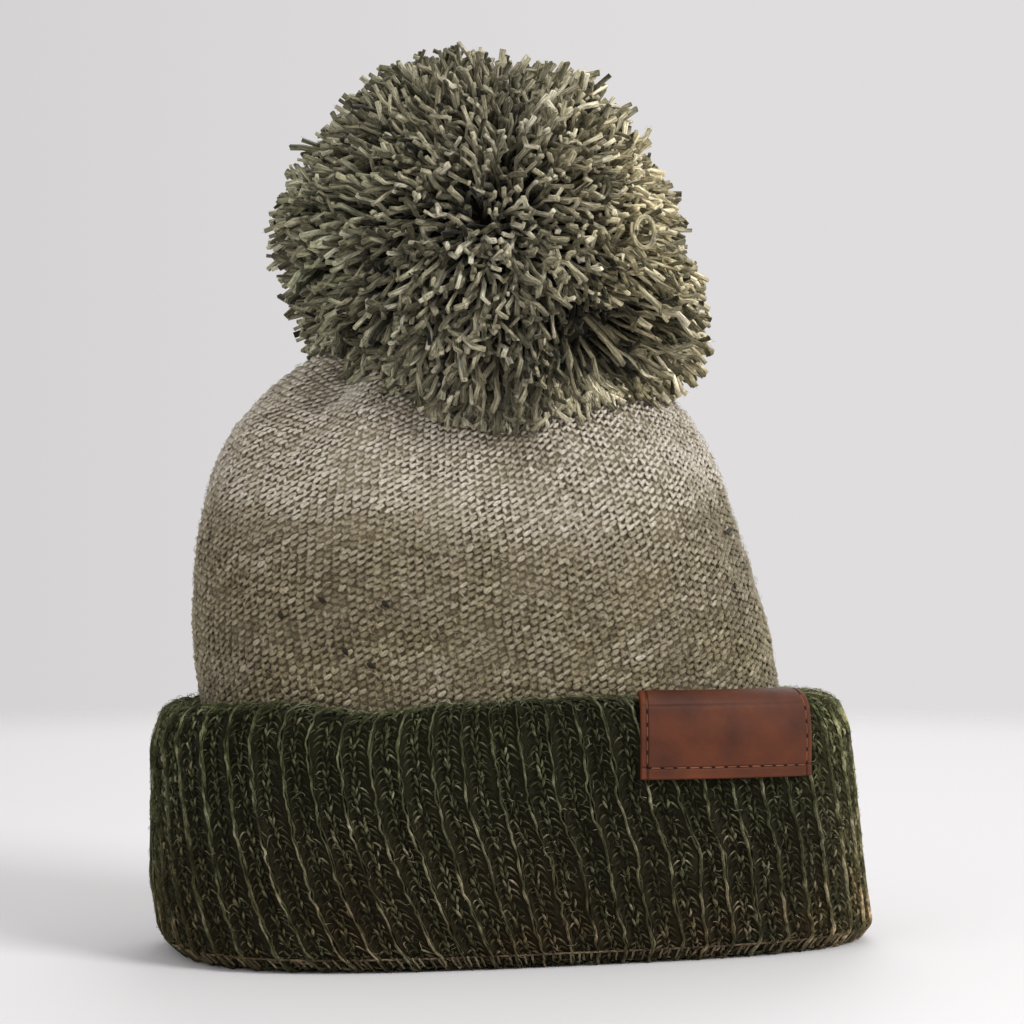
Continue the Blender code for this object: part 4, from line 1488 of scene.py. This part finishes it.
def make_tab_thread(face, normals, up, across):
    """Thread along the lower seam and both sides, with a near-black mark before each stitch as painted
    shade in its hole.
    """
    rng = np.random.default_rng(92)
    thread = leather_material("tab_thread", linear(96, 56, 38), linear(140, 90, 64), roughness=0.8)
    # Near-black domes stand for the holes: painted shade inside them
    holes = leather_material("tab_hole_shade", linear(14, 7, 5), linear(26, 13, 9), roughness=0.9)
    for name, material, first, last, size, rise in (
        ("tab_thread", thread, 0.30, 1.0, 0.00024, 0.00050),
        ("tab_hole_shade", holes, 0.02, 0.28, 0.00042, 0.00046),
    ):
        steps = np.linspace(first, last, 5)[None, :] * TAB_STITCH_PITCH
        low = np.arange(TAB_LEFT_GROOVE, TAB_RIGHT_GROOVE - TAB_STITCH_PITCH / 2, TAB_STITCH_PITCH)
        side = np.arange(TAB_SEAM_RISE, TAB_LINE_RISE - TAB_STITCH_PITCH / 2, TAB_STITCH_PITCH)
        along = low[:, None] + steps
        beside = side[:, None] + steps
        rows = np.concatenate([np.full(along.shape, TAB_SEAM_RISE), beside, beside])
        left, right = (np.full(beside.shape, at) for at in (TAB_LEFT_GROOVE, TAB_RIGHT_GROOVE))
        columns = np.concatenate([along, left, right])
        outs = unit(on_grid(normals, up, across, rows, columns))
        paths = on_grid(face, up, across, rows, columns) + outs * rise
        width = size * np.array((0.7, 1.0, 1.0, 1.0, 0.7)) * rng.uniform(0.85, 1.15, (len(paths), 1))
        piece = add_yarns(name, paths, outs, width, 0.0004, 0.0, DOME, material)
        finish_piece(piece, "tab")


# The stage: a round pale floor that fades at its edge, soft lights and the camera
FLOOR_RADIUS = 1.34
FLOOR_FADE_START = 0.9
WORLD_LIMITS = {"From Min": -0.30, "From Max": 0.15, "To Min": 0.60, "To Max": 0.74}
WORLD_COLOUR = (1.0, 0.975, 0.98, 1)
LIT_SPOT = (0, 0, 0.13)
LIGHTS = (
    dict(name="key", place=(0.95, -0.95, 1.15), size=0.6, power=21),
    dict(name="fill", place=(-1.1, -0.9, 0.7), size=1.2, power=6),
    dict(name="rim", place=(0.3, 1.3, 1.1), size=0.9, power=7),
)
CAMERA_AWAY = 0.840
CAMERA_HEIGHT = 0.122
CAMERA_TURN = -6.0
CAMERA_DIP = 0.81
CAMERA_ASIDE = -0.0006
LENS = 94.2


def make_stage():
    steps = 96
    turns = np.arange(steps) * 2 * math.pi / steps
    ring = np.stack([np.cos(turns), np.sin(turns), np.zeros(steps)], axis=1)
    radii = np.array((0.02, 0.3, 0.8, 1.0, 1.2, FLOOR_RADIUS))
    points = (ring[None] * radii[:, None, None]).reshape(-1, 3)
    quads = sheet_quads(len(radii), steps, closed=True)
    nodes = Nodes("floor", roughness=0.6, sheen=0.0, sheen_tint=(1, 1, 1), specular=0.2)
    nodes.shader.inputs["Base Color"].default_value = (*linear(218, 216, 217), 1)
    place = nodes.add("TexCoord").outputs["Object"]
    far = nodes.add("VectorMath", {0: place}, operation="LENGTH").outputs["Value"]
    limits = {"From Min": FLOOR_FADE_START, "From Max": FLOOR_RADIUS, "To Min": 1.0, "To Max": 0.0}
    fade = nodes.add("MapRange", {"Value": far, **limits}, interpolation_type="SMOOTHSTEP")
    nodes.link(fade.outputs["Result"], "Alpha")
    caps = np.arange(steps)[::-1][None]
    floor = add_mesh("floor", points, quads, [nodes.material], caps=caps, smooth=False)


def make_world():
    """Pale light from all round, somewhat weaker from the left."""
    world = bpy.data.worlds.new("studio")
    bpy.context.scene.world = world
    world.use_nodes = True
    tree = world.node_tree
    background = tree.nodes["Background"]
    way = tree.nodes.new("ShaderNodeTexCoord")
    parts = tree.nodes.new("ShaderNodeSeparateXYZ")
    ramp = tree.nodes.new("ShaderNodeMapRange")
    for limit, value in WORLD_LIMITS.items():
        ramp.inputs[limit].default_value = value
    tree.links.new(way.outputs["Generated"], parts.inputs[0])
    tree.links.new(parts.outputs["X"], ramp.inputs["Value"])
    tree.links.new(ramp.outputs["Result"], background.inputs["Strength"])
    background.inputs["Color"].default_value = WORLD_COLOUR


def add_light(name, place, size, power):
    light = bpy.data.lights.new(name, "AREA")
    light.size = size
    light.energy = power
    obj = bpy.data.objects.new(name, light)
    obj.location = place
    aim = Vector(LIT_SPOT) - Vector(place)
    obj.rotation_euler = aim.to_track_quat("-Z", "Y").to_euler()
    bpy.context.scene.collection.objects.link(obj)


def make_camera():
    camera = bpy.data.cameras.new("camera")
    camera.lens = LENS
    camera.sensor_width = 36
    obj = bpy.data.objects.new("camera", camera)
    turn = math.radians(CAMERA_TURN)
    obj.location = (
        CAMERA_AWAY * math.sin(turn) + CAMERA_ASIDE * math.cos(turn),
        -CAMERA_AWAY * math.cos(turn) + CAMERA_ASIDE * math.sin(turn),
        CAMERA_HEIGHT,
    )
    obj.rotation_euler = (math.radians(90 + CAMERA_DIP), 0, turn)
    bpy.context.scene.collection.objects.link(obj)
    bpy.context.scene.camera = obj


def main():
    bpy.context.scene.view_settings.view_transform = "Standard"
    make_stage()
    make_world()
    for light in LIGHTS:
        add_light(**light)
    make_camera()
    make_crown()
    make_cuff()
    make_pompom()
    make_tab()


main()
